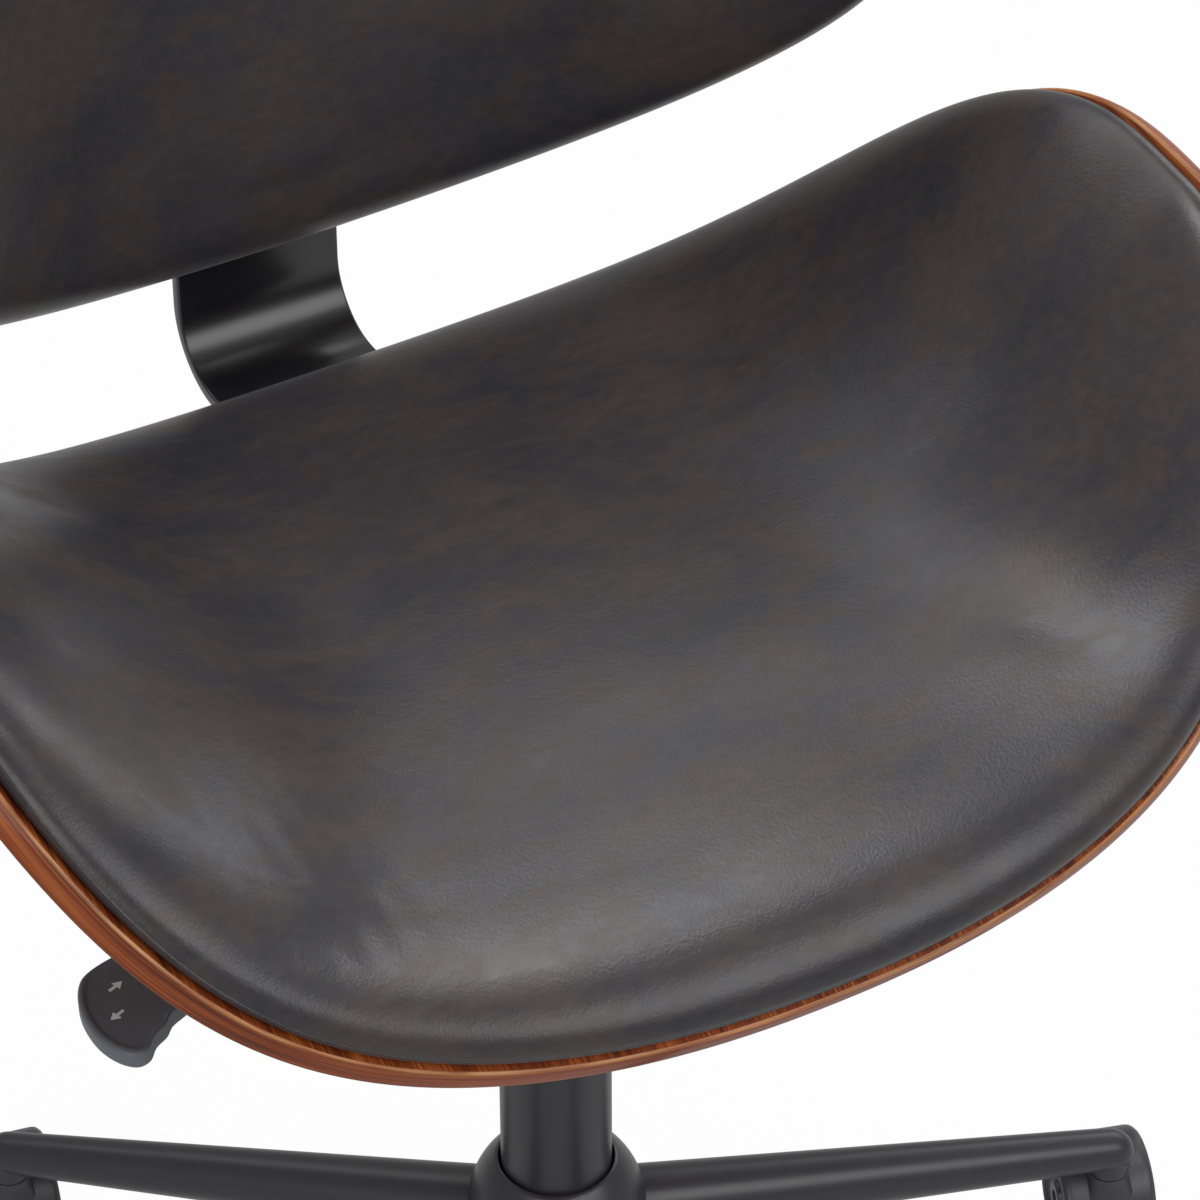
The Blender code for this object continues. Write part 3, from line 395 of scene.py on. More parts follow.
@dataclass(frozen=True)
class Finishes:
    """Every finish on the chair."""

    leather: Finish = Leather("waxed_brown_leather", Slot.LEATHER, 0x3D3535, 0.33,
                              specular=0.46, sheen=0.12)
    walnut: Finish = WalnutPly("lacquered_walnut_veneer", Slot.WALNUT, 0x8A3F19, 0.48,
                               coat=0.25, specular=0.2)
    strap: Finish = PowderCoat("black_powder_coat", Slot.BLACK_STEEL, 0x1A1A1D, 0.27,
                               specular=0.65)
    base: Finish = PowderCoat("graphite_powder_coat", Slot.GREY_PAINT, 0x313034, 0.34)
    bracket: Finish = PowderCoat("black_stove_enamel", Slot.BLACK_STEEL, 0x18181A, 0.42)
    paddle: Finish = Moulded("moulded_abs", Slot.BLACK_PLASTIC, 0x666B72, 0.45)
    nylon: Finish = Moulded("moulded_grey_nylon", Slot.NYLON, 0x3A3A40, 0.40, grain_mm=1.0)
    tyre: Finish = Moulded("polyurethane_tread", Slot.BLACK_PLASTIC, 0x232326, 0.55,
                           grain_mm=1.2)
    bush: Finish = Moulded("moulded_acetal", Slot.BLACK_PLASTIC, 0x1C1C1E, 0.35)
    ink: Finish = Moulded("pad_printed_white", Slot.BLACK_PLASTIC, 0xF2F2EE, 0.55)
    zinc: Finish = Plated("zinc_plated_steel", Slot.ZINC, 0xA4A5A8, 0.32)
    chrome: Finish = Plated("hard_chromed_steel", Slot.CHROME, 0xC4C5C8, 0.10)


# ---------------------------------------------------------------- surfaces
def wrapped(table: Array) -> Array:
    """The table with its first column repeated after its last."""
    return np.concatenate([table, table[:, :1]], axis=1)


def cells(table: Array) -> Array:
    """What stands at the four corners of each cell of a table, (cells, 4, ...)."""
    quads = [table[:-1, :-1], table[:-1, 1:], table[1:, 1:], table[1:, :-1]]
    return np.stack(quads, axis=2).reshape(-1, 4, *table.shape[2:])


@dataclass
class Surface:
    """A grid of points that closes on itself along its columns.

    points is (rows, columns, 3). The first and last rows may each be one repeated point,
    which closes that end. grain is (rows, columns + 1, 2), lengths along and across the
    grain in metres, or None."""

    points: Array
    grain: Array | None = None

    def turned(self, matrix: Array) -> Surface:
        """This surface turned by a 3 x 3 matrix."""
        return Surface(self.points @ matrix.T, self.grain)

    def moved(self, offset: tuple[float, float, float] | Array) -> Surface:
        """This surface moved by an offset."""
        return Surface(self.points + np.asarray(offset, float), self.grain)

    def faces(self) -> Array:
        """The corners of every face, as numbers into the flattened points."""
        shape = self.points.shape[:2]
        return cells(wrapped(np.arange(shape[0] * shape[1]).reshape(shape)))

    def corner_grain(self) -> Array:
        """The grain at each face's corners."""
        if self.grain is None:
            return np.zeros((self.faces().size, 2))
        return cells(self.grain).reshape(-1, 2)


def turn(axis: str, angle: float) -> Array:
    """The 3 x 3 matrix of a turn about X, Y or Z."""
    c, s = math.cos(angle), math.sin(angle)
    return {"X": np.array([[1, 0, 0], [0, c, -s], [0, s, c]]),
            "Y": np.array([[c, 0, s], [0, 1, 0], [-s, 0, c]]),
            "Z": np.array([[c, -s, 0], [s, c, 0], [0, 0, 1]])}[axis]


def eased(share: Array) -> Array:
    """A share from 0 to 1 that starts and ends slowly: s^2 (3 - 2s)."""
    return share ** 2 * (3.0 - 2.0 * share)


def powered(value: Array, power: Array | float) -> Array:
    """A power of a number's size, with the number's sign."""
    return np.sign(value) * np.abs(value) ** power


def circle(columns: int) -> Array:
    """Points round a circle of radius 1, (columns, 2)."""
    angle = np.linspace(0.0, math.tau, columns, endpoint=False)
    return np.stack([np.cos(angle), np.sin(angle)], axis=-1)


def stacked(rings: Array, heights: Array) -> Array:
    """Flat rings of points, (rings, columns, 2), each at its own height."""
    level = np.broadcast_to(heights[:, None, None], (*rings.shape[:2], 1))
    return np.concatenate([rings, level], axis=-1)


def filleted(rows: list[tuple[float, float, float]], steps: int = 6) -> Array:
    """Round the corners of an open line of straight stretches.

    Each corner becomes a quadratic arc between the points that lie a radius before and after
    it: (1-t)^2 a + 2t(1-t) b + t^2 c.

    Args:
        rows: each corner's two places and how far from it its arc starts; 0 keeps it sharp.
        steps: the parts of each arc.

    Returns:
        The rounded line, (n, 2).
    """
    table = np.array(rows, float)
    points, radii = table[:, :2], table[:, 2]
    t = np.linspace(0.0, 1.0, steps + 1)[:, None]
    line = [points[:1]]
    for before, corner, after, radius in zip(points, points[1:], points[2:], radii[1:]):
        if radius <= 0.0:
            line.append(corner[None])
            continue
        a, c = (corner + (end - corner) / np.linalg.norm(end - corner) * radius
                for end in (before, after))
        line.append((1 - t) ** 2 * a + 2 * t * (1 - t) * corner + t ** 2 * c)
    return np.concatenate([*line, points[-1:]])


def revolved(profile: Array, columns: int) -> Surface:
    """Carry a profile of (radius, height) round Z: x = r cos a, y = r sin a, z = height."""
    return Surface(stacked(profile[:, None, :1] * circle(columns), profile[:, 1]))


def lathe(rows: list[tuple[float, float, float]], columns: int, steps: int = 6) -> Surface:
    """Carry a line of (radius, height, fillet) corners round Z."""
    return revolved(filleted(rows, steps), columns)


def peg(radius: float, low: float, high: float, rounds: tuple[float, float],
        columns: int) -> Surface:
    """A round bar along Z from low to high, with a fillet round each end."""
    return lathe([(0, low, 0), (radius, low, rounds[0]), (radius, high, rounds[1]),
                  (0, high, 0)], columns)


def lofted(rings: Array) -> Surface:
    """Join rings of points, (rows, columns, 3), and close both ends at their middles."""
    first, last = (np.broadcast_to(ring.mean(axis=0), (1, *ring.shape))
                   for ring in (rings[0], rings[-1]))
    return Surface(np.concatenate([first, rings, last]))


def slab(outline: Array, bottom: float, top: float, edge: float) -> Surface:
    """A flat piece with rounded edges.

    The outline shrinks towards its own inside by edge * (1 - cos t) while the height rises by
    edge * (1 - sin t), so that both arrises are quarter rounds.

    Args:
        outline: the plan's points, (n, 2), anticlockwise.
        bottom: the height of its underside.
        top: the height of its upper side.
        edge: the radius of both arrises.

    Returns:
        The closed surface.
    """
    ahead = np.roll(outline, -1, axis=0) - np.roll(outline, 1, axis=0)
    inward = np.stack([-ahead[:, 1], ahead[:, 0]], axis=1)
    inward /= np.linalg.norm(inward, axis=1, keepdims=True)
    t = np.linspace(0.0, QUARTER, 5)
    inset = np.concatenate([edge * (1 - np.sin(t)), edge * (1 - np.cos(t))])
    height = np.concatenate([bottom + edge * (1 - np.cos(t)), top - edge * (1 - np.sin(t))])
    return lofted(stacked(outline + inward * inset[:, None, None], height))


def rounded_box(half_x: float, y_range: tuple[float, float], radius: float,
                steps: int = 8) -> Array:
    """The plan of a plate with round corners, anticlockwise, (n, 2)."""
    t = np.linspace(0.0, QUARTER, steps + 1)
    x, low, high = half_x - radius, y_range[0] + radius, y_range[1] - radius
    middles = ((x, high), (-x, high), (-x, low), (x, low))
    return np.concatenate([
        np.stack([x + radius * np.cos(t + k * QUARTER), y + radius * np.sin(t + k * QUARTER)],
                 axis=1) for k, (x, y) in enumerate(middles)])


def curve_through(points: Array, cuts: int) -> Array:
    """A closed Catmull-Rom curve through points, (n, d), with cuts points per stretch."""
    p0, p1, p2, p3 = (np.roll(points, shift, axis=0)[:, None] for shift in (1, 0, -1, -2))
    t = (np.arange(cuts) / cuts)[None, :, None]
    curve = 0.5 * (2 * p1 + (p2 - p0) * t + (2 * p0 - 5 * p1 + 4 * p2 - p3) * t ** 2
                   + (3 * p1 - p0 - 3 * p2 + p3) * t ** 3)
    return curve.reshape(-1, points.shape[1])


def linked(name: str, data: bpy.types.ID) -> bpy.types.Object:
    """Make an object of this data and put it in the scene."""
    made = bpy.data.objects.new(name, data)
    bpy.context.scene.collection.objects.link(made)
    return made


@dataclass
class Bench:
    """Where pieces are put together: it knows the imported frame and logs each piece."""

    frame: dict
    finishes: Finishes = field(default_factory=Finishes)
    lift_tube_foot: float = 0.0480
    shift: Array = field(init=False)

    def __post_init__(self) -> None:
        """Find where the lift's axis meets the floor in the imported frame."""
        low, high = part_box("lift_tube")
        self.shift = np.array(Vector(((low.x + high.x) / 2.0, (low.y + high.y) / 2.0,
                                      low.z - self.lift_tube_foot)))

    @staticmethod
    def hang(piece: bpy.types.Object, body: str, slot: Slot, replaces: str) -> None:
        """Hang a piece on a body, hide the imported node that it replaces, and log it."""
        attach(piece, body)
        if replaces:
            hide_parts(replaces)
        LOG.info("%s: %d faces on %s", piece.name, len(piece.data.polygons), body)

    def add(self, name: str, surfaces: list[Surface], finish: Finish, body: str,
            replaces: str = "", slot: Slot | None = None, sharp: float = 40.0) -> None:
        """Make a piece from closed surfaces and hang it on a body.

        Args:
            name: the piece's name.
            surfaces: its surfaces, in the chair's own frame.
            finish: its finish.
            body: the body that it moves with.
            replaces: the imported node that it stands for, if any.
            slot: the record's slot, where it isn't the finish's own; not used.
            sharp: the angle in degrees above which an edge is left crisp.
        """
        mesh = bpy.data.meshes.new(name)
        counts = np.cumsum([0] + [surface.points.size // 3 for surface in surfaces])
        mesh.from_pydata(
            np.concatenate([surface.points.reshape(-1, 3) for surface in surfaces])
            + self.shift, [],
            np.concatenate([surface.faces() + count for surface, count
                            in zip(surfaces, counts)]))
        grain = np.concatenate([surface.corner_grain() for surface in surfaces])
        layer = mesh.uv_layers.new(name="grain")
        layer.data.foreach_set("uv", grain.astype(np.float32).ravel())
        self.close(mesh)
        mesh.shade_smooth()
        mesh.set_sharp_from_angle(angle=math.radians(sharp))
        mesh.materials.append(finish.material())
        self.hang(linked(name, mesh), body, slot or finish.slot, replaces)

    @staticmethod
    def close(mesh: bpy.types.Mesh) -> None:
        """Merge what a pole or a closed row repeats, and point the faces outwards."""
        bm = bmesh.new()
        bm.from_mesh(mesh)
        bmesh.ops.remove_doubles(bm, verts=bm.verts, dist=2e-7)
        bmesh.ops.dissolve_degenerate(bm, dist=1e-8, edges=bm.edges)
        bmesh.ops.recalc_face_normals(bm, faces=bm.faces)
        bm.to_mesh(mesh)
        bm.free()


# ---------------------------------------------------------------- bent panels
@dataclass(frozen=True)
class Panel:
    """A bent sheet of ply as a surface of (share of the way out, angle round the middle)."""

    thickness: float = 0.0120
    arris: float = 0.0014
    edge_bow: float = 0.0002
    side: tuple[float, float, float] = (0.0, 0.0, 1.0)
    pole: float = 0.012

    def point(self, share: Array, angle: Array) -> Array:
        """A point of the padded face. Each kind of panel gives its own."""
        raise NotImplementedError

    def raised(self, share: Array, angle: Array, height: Array | float) -> Array:
        """A point off the face along its normal, the cross product of its two slopes."""
        step = 1e-3
        inner = np.maximum(share, self.pole)
        outward = self.point(inner + step, angle) - self.point(inner - step, angle)
        around = self.point(inner, angle + step) - self.point(inner, angle - step)
        normal = np.cross(outward, around)
        normal /= np.linalg.norm(normal, axis=-1, keepdims=True)
        side = np.array(self.side)
        normal = np.where((normal @ side)[..., None] < 0.0, -normal, normal)
        normal = np.where((share < self.pole)[..., None], side, normal)
        return self.point(share, angle) + normal * np.asarray(height)[..., None]

    def reach(self, angle: Array) -> Array:
        """The distance from the middle to the rim at an angle."""
        rim = self.point(np.ones_like(angle), angle)
        return np.linalg.norm(rim - self.point(np.zeros_like(angle), angle), axis=-1)

    def shell(self, columns: int = 320) -> Surface:
        """The ply itself.

        Rows run out over the padded face, round the edge and back over the other face. The
        edge is a quarter round of radius arris at each arris, and a side that bows out
        slightly between them. The grain runs front to back on the faces and along the rim
        on the edge."""
        angle = np.linspace(QUARTER, 5 * QUARTER, columns, endpoint=False)[None]
        reach = self.reach(angle)
        t = np.linspace(0.0, QUARTER, 6)
        r, thick = self.arris, self.thickness
        flat = np.linspace(r, thick - r, 5)[1:-1]
        inset = np.concatenate([r * (1 - np.sin(t)),
                                -self.edge_bow * np.sin(math.pi * flat / thick),
                                r * (1 - np.cos(t))])
        depth = np.concatenate([r * (1 - np.cos(t)), flat, thick - r * (1 - np.sin(t))])
        out = np.concatenate([np.linspace(0.0, 0.9, 19), [0.94, 0.97, 1.0]])
        face = out[:, None] * (1 - r / reach)
        share = np.concatenate([face, 1 - inset[:, None] / reach, face[::-1]])
        height = np.concatenate([0.0 * out, -depth, np.full(len(out), -thick)])
        points = self.raised(share, angle, height[:, None])
        return Surface(points, self.grain(points, len(out), len(inset)))

    @staticmethod
    def grain(points: Array, face_rows: int, edge_rows: int) -> Array:
        """Lengths along and across the grain for the shell's corners.

        On the edge they are the length round the rim and the length down the edge."""
        rim = points[face_rows + edge_rows // 2]
        steps = np.linalg.norm(np.roll(rim, -1, axis=0) - rim, axis=1)
        falls = np.linalg.norm(np.diff(points[:, 0], axis=0), axis=1)
        around, down = (np.concatenate([[0.0], np.cumsum(x)]) for x in (steps, falls))
        x, y, z = np.moveaxis(wrapped(points), -1, 0)
        grain = np.stack([y + z, x], axis=-1)
        edge = slice(face_rows, face_rows + edge_rows)
        grain[edge, :, 0] = around + EDGE_U
        grain[edge, :, 1] = (EDGE_V + down[edge] - down[face_rows])[:, None]
        return grain


@dataclass(frozen=True)
class SeatPanel(Panel):
    """The seat: a flat middle whose sides sweep up into wings and whose front turns down."""

    half_width: float = 0.2999
    front: float = 0.2043
    rear: float = 0.2191
    middle_y: float = -0.0281
    front_power: float = 2.22
    rear_power: float = 2.85
    rim_z: float = 0.5022
    rim_wave: tuple[float, float, float, float] = (0.0254, 0.0720, 0.0127, 0.0129)
    front_dip: float = 0.0028
    core: float = 0.28
    bend_power: float = 2.07
    lip_power: float = 3.11

    @property
    def level(self) -> float:
        """The height of its flat middle, which is the rim's at the rear."""
        return float(self.rim(np.array(QUARTER))[2])

    def rim(self, angle: Array) -> Array:
        """The rim: a superellipse in plan whose height is a sum of four waves.

        A fifth, cos 6a, shapes only the front, where it fades in as s^2 (3 - 2|s|)."""
        c, s = np.cos(angle), np.sin(angle)
        ahead = s < 0.0
        power = 2.0 / np.where(ahead, self.front_power, self.rear_power)
        depth = np.where(ahead, self.front, self.rear)
        w = self.rim_wave
        return np.stack([
            self.half_width * powered(c, power),
            depth * powered(s, power) + self.middle_y,
            self.rim_z + w[0] * s + w[1] * np.cos(2 * angle) + w[2] * np.sin(3 * angle)
            + w[3] * np.cos(4 * angle)
            + self.front_dip * eased(np.maximum(-s, 0.0)) * np.cos(6 * angle)], axis=-1)

    def point(self, share: Array, angle: Array) -> Array:
        """The middle plus a share of the way to the rim, raised by a power of that share."""
        x, y, z = np.moveaxis(self.rim(angle), -1, 0)
        power = self.bend_power + (self.lip_power - self.bend_power) * np.maximum(
            0.0, -np.sin(angle)) ** 2
        bend = np.maximum(0.0, (share - self.core) / (1.0 - self.core)) ** power
        return np.stack([share * x, self.middle_y + share * (y - self.middle_y),
                         self.level + bend * (z - self.level)], axis=-1)


@dataclass(frozen=True)
class BackPanel(Panel):
    """The back: a wide oval bent forward round an upright cylinder and leaning back."""

    half_width: float = 0.2657
    lower: float = 0.1282
    upper: float = 0.1650
    lower_power: float = 1.92
    upper_power: float = 2.35
    bend_radius: float = 0.3337
    middle_z: float = 0.6239
    strap_face_y: float = 0.2616
    strap_lean_z: float = 0.5150
    side: tuple[float, float, float] = (0.0, -math.cos(LEAN), math.sin(LEAN))

    def strap_y(self, z: float | Array) -> float | Array:
        """Where the strap's leaning face is at a height."""
        return self.strap_face_y + (z - self.strap_lean_z) * math.tan(LEAN)

    def point(self, share: Array, angle: Array) -> Array:
        """A superellipse on a cylinder: the wrap is R - sqrt(R^2 - x^2)."""
        c, s = np.cos(angle), np.sin(angle)
        low = s < 0.0
        power = 2.0 / np.where(low, self.lower_power, self.upper_power)
        x = share * self.half_width * powered(c, power)
        rise = share * np.where(low, self.lower, self.upper) * powered(s, power)
        wrap = self.bend_radius - np.sqrt(self.bend_radius ** 2 - x ** 2)
        axes = np.array([(1.0, 0.0, 0.0), (0.0, math.sin(LEAN), math.cos(LEAN)), self.side])
        middle = np.array([0.0, self.strap_y(self.middle_z), self.middle_z])
        return (middle + axes[2] * (self.thickness + GAP)
                + np.stack([x, rise, wrap], axis=-1) @ axes)


def disc_rings(rings: int) -> tuple[Array, Array]:
    """Map a square grid to a disc without a pole.

    The cell (i, j) lies on the square ring max(|i|, |j|), which becomes the disc's ring of
    that number; its place along the ring's side gives the angle.

    Args:
        rings: the squares from the middle to the rim.

    Returns:
        The ring number and the angle of each point, both (2 rings + 1, 2 rings + 1).
    """
    line = np.arange(-rings, rings + 1, dtype=float)
    a, b = np.meshgrid(line, line, indexing="ij")
    wide = np.abs(a) >= np.abs(b)
    ring = np.where(wide, a, b)
    slope = math.pi / 4 * np.where(wide, b, a) / np.where(ring == 0.0, 1.0, ring)
    angle = np.where(wide, slope, QUARTER - slope)
    return np.abs(ring), np.where(ring < 0.0, angle + math.pi, angle)


def vectors(items: bpy.types.bpy_prop_collection, name: str = "co") -> Array:
    """One vector of each item of a mesh, (n, 3)."""
    flat = np.empty(len(items) * 3, np.float32)
    items.foreach_get(name, flat)
    return flat.reshape(-1, 3)


def reshape(mesh: bpy.types.Mesh, places: Array) -> None:
    """Move a mesh's points to new places."""
    mesh.vertices.foreach_set("co", places.astype(np.float32).ravel())
    mesh.update()


@dataclass(frozen=True)
class Folds:
    """Soft parallel folds of a cover over an oval patch.

    depth = height * cos(2 pi across / spacing) * exp(-(run / r1)^2 - (across / r2)^2)."""

    centre: tuple[float, float, float] = (-0.186, -0.126, 0.49)
    along: tuple[float, float, float] = (0.07, -0.998, 0.0)
    across: tuple[float, float, float] = (0.998, 0.07, 0.0)
    spacing: float = 0.0160
    height: float = 0.00042
    radius: tuple[float, float] = (0.045, 0.030)

    def depth_at(self, place: Array) -> Array:
        """How far each place moves outwards."""
        offset = place - np.array(self.centre)
        run, side = offset @ np.array(self.along), offset @ np.array(self.across)
        fade = np.exp(-(run / self.radius[0]) ** 2 - (side / self.radius[1]) ** 2)
        return self.height * np.cos(math.tau * side / self.spacing) * fade


@dataclass
class Cushion:
    """A glued pad: foam under a stretched cover, rounded over at its edge."""

    panel: Panel
    inset: float
    waist: float
    crown: float
    roll: float
    power: float = 2.3
    folds: Folds | None = None
    foot_inset: float = 0.0040
    foot: tuple[tuple[float, float], ...] = ((0.0002, 0.74), (0.0009, 0.45), (0.0022, 0.20))
    rings: int = 50
    spread: float = 0.78
    roll_rings: int = 13
    pressure: float = 4.0
    cap: float = 0.0030
    even: float = 4.0
    frames: int = 20

    @property
    def side(self) -> int:
        """The points along one side of the square grid that becomes the cover."""
        return 2 * self.rings + 1

    def heights(self) -> tuple[Array, Array]:
        """The inset and height of each ring of the rolled edge, from the widest point in.

        They follow a quarter superellipse: inset = i0 + roll (1 - cos^(2/p) t), height =
        waist + (crown - waist) sin^(2/p) t."""
        t = np.linspace(0.0, QUARTER, self.roll_rings + 1)
        power = 2.0 / self.power
        return (self.inset + self.roll * (1 - np.cos(t).clip(0.0) ** power),
                self.waist + (self.crown - self.waist) * np.sin(t) ** power)

    def build(self) -> tuple[Array, Array, Array]:
        """Work out the closed pad.

        Returns:
            The points, the quads, and how firmly each point is held: 1 where it is glued or
            drawn tight round the rim, falling to 0 over the roll.
        """
        ring, angle = disc_rings(self.rings)
        reach = self.panel.reach(angle)
        inset, height = self.heights()
        outer, steps = self.rings - ring, np.arange(self.roll_rings + 1)
        inner = (ring / (self.rings - self.roll_rings)) ** self.spread
        share = np.where(outer <= self.roll_rings,
                         1.0 - np.interp(outer, steps, inset) / reach,
                         (1.0 - inset[-1] / reach) * inner)
        face = self.panel.raised(share, angle, np.interp(outer, steps, height))
        foot = (1.0 - (self.inset + self.foot_inset) / reach) * ring / self.rings
        under = self.panel.raised(foot, angle, GAP)

        first = self.side ** 2
        index = np.arange(first).reshape(self.side, self.side)
        quads = cells(index)[:, [0, 3, 2, 1]]
        loop = np.concatenate([index[:-1, 0], index[-1, :-1], index[:0:-1, -1],
                               index[0, :0:-1]])
        at, rim = angle.ravel()[loop], reach.ravel()[loop]
        walls = [self.panel.raised(1.0 - (self.inset + more) / rim, at, self.waist * share)
                 for more, share in self.foot]
        points = np.concatenate([face.reshape(-1, 3), *walls, under.reshape(-1, 3)])
        numbers = first + np.arange(len(walls) * len(loop)).reshape(len(walls), -1)
        base = first + numbers.size
        faces = np.concatenate([quads, cells(wrapped(np.vstack([loop, numbers, base + loop]))),
                                quads[:, ::-1] + base])
        ease = np.clip(1.0 - (outer.ravel() - 2.0) / (self.roll_rings - 2.0), 0.0, 1.0)
        held = np.ones(len(points))
        held[:first] = np.round(eased(ease), 2)
        return points, faces, held

    def swell(self, piece: bpy.types.Object, held: Array) -> None:
        """Puff the pad by a cloth simulation and keep the result in its mesh.

        The underside and rim are pinned, the inside pushes out, and no point moves past the
        cap.

        Args:
            piece: the pad.
            held: how firmly each point is held, from 0 to 1.
        """
        start = vectors(piece.data.vertices)
        pinned = piece.vertex_groups.new(name="pinned")
        for share in np.unique(held[held > 0.0]):
            pinned.add(np.flatnonzero(held == share).tolist(), float(share), "REPLACE")
        cloth = piece.modifiers.new("cover", "CLOTH")
        for key, value in {
                "vertex_group_mass": "pinned", "quality": 5, "mass": 0.4,
                "tension_stiffness": 18.0, "compression_stiffness": 2.0,
                "shear_stiffness": 4.0, "bending_stiffness": 6.0, "use_pressure": True,
                "uniform_pressure_force": self.pressure}.items():
            setattr(cloth.settings, key, value)
        cloth.settings.effector_weights.gravity = 0.0
        cloth.collision_settings.use_collision = False
        cloth.point_cache.frame_start, cloth.point_cache.frame_end = 1, self.frames
        scene = bpy.context.scene
        for frame in range(1, self.frames + 1):
            scene.frame_set(frame)
        result = piece.evaluated_get(bpy.context.evaluated_depsgraph_get())
        step = vectors(result.data.vertices) - start
        piece.modifiers.remove(cloth)
        piece.vertex_groups.remove(pinned)
        scene.frame_set(1)
        length = np.linalg.norm(step, axis=1, keepdims=True)
        step *= np.minimum(1.0, self.cap / np.maximum(length, 1e-9))
        cover = step[:self.side ** 2]
        cover[:] = self.evened(cover.reshape(self.side, self.side, 3)).reshape(-1, 3)
        step *= (1.0 - held)[:, None]
        reshape(piece.data, start + step)
        LOG.info("%s swelled by up to %.1f mm", piece.name, 1000.0 * float(length.max()))

    def evened(self, grid: Array) -> Array:
        """Even out folds shorter than the foam is thick: a bell-shaped mean along each side
        of the grid in turn, whose weights are exp(-(k / width)^2)."""
        reach = int(2 * self.even)
        weights = np.exp(-(np.arange(-reach, reach + 1) / self.even) ** 2)
        weights /= weights.sum()
        for _ in range(2):
            padded = np.pad(grid, ((reach, reach), (0, 0), (0, 0)), mode="edge")
            grid = sum(w * padded[k:k + len(grid)] for k, w in enumerate(weights))
            grid = grid.transpose(1, 0, 2)
        return grid

    def make(self, bench: Bench, name: str, replaces: str) -> None:
        """Build, swell, fold and dress the pad.

        Args:
            bench: where the piece is put together.
            name: the piece's name.
            replaces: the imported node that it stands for.
        """
        points, faces, held = self.build()
        mesh = bpy.data.meshes.new(name)
        mesh.from_pydata(points + bench.shift, [], faces)
        mesh.shade_smooth()
        mesh.materials.append(bench.finishes.leather.material())
        piece = linked(name, mesh)
        self.swell(piece, held)
        if self.folds is not None:
            place = vectors(mesh.vertices)
            depth = self.folds.depth_at(place - bench.shift) * np.sqrt(1.0 - held)
            reshape(mesh, place + vectors(mesh.vertex_normals, "vector") * depth[:, None])
        fine = piece.modifiers.new("fine", "SUBSURF")
        fine.levels = fine.render_levels = 1
        bench.hang(piece, "seat", bench.finishes.leather.slot, replaces)


# ---------------------------------------------------------------- sub-assemblies
@dataclass
class PaddedPanel:
    """The seat or the back: its bent ply and its glued pad."""

    name: str
    cushion: Cushion

    def build(self, bench: Bench) -> None:
        """Make the shell and the pad."""
        bench.add(f"{self.name}_veneered_shell", [self.cushion.panel.shell()],
                  bench.finishes.walnut, "seat", f"{self.name}_shell", sharp=60.0)
        self.cushion.make(bench, f"{self.name}_upholstery", f"{self.name}_pad")


@dataclass
class Screw:
    """A button-head screw with a six-sided socket, its head's seat at z = 0."""

    length: float
    radius: float = 0.0030
    head_radius: float = 0.0068
    head_height: float = 0.0038
    socket_across: float = 0.0020
    columns: int = 48

    def surface(self) -> Surface:
        """The head is a dome below z = 0, its socket a hexagon: r = a / cos(angle mod 60)."""
        h, r, a = self.head_height, self.head_radius, self.socket_across
        made = lathe([(0, -h * 0.45, 0), (a, -h * 0.45, 0), (a, -h, 0),
                      (r * 0.62, -h, 0.0012), (r, -h * 0.30, 0.0006), (r, 0, 0.0003),
                      (self.radius, 0, 0), (self.radius, self.length, 0.0006),
                      (0, self.length, 0)], self.columns, 4)
        angle = np.linspace(0.0, math.tau, self.columns, endpoint=False)
        hexagon = 1.0 / np.cos((angle + math.pi / 6) % (math.pi / 3) - math.pi / 6)
        x, y, z = np.moveaxis(made.points, -1, 0)
        socket = (np.hypot(x, y) <= a * 1.001) & (z < -h * 0.4)
        made.points[..., :2] *= np.where(socket, hexagon, 1.0)[..., None]
        return made

    def drive(self, bench: Bench, name: str, places: list[tuple[float, float, float]],
              aim: Array | None = None) -> None:
        """Put one screw at each place.

        Args:
            bench: where the pieces are put together.
            name: what the screws are named after.
            places: where their heads sit.
            aim: the turn from pointing up, if any.
        """
        shape = self.surface() if aim is None else self.surface().turned(aim)
        for index, place in enumerate(places, 1):
            bench.add(f"{name}_bolt_{index}", [shape.moved(place)], bench.finishes.zinc,
                      "seat", f"{name}_screw_{index}")


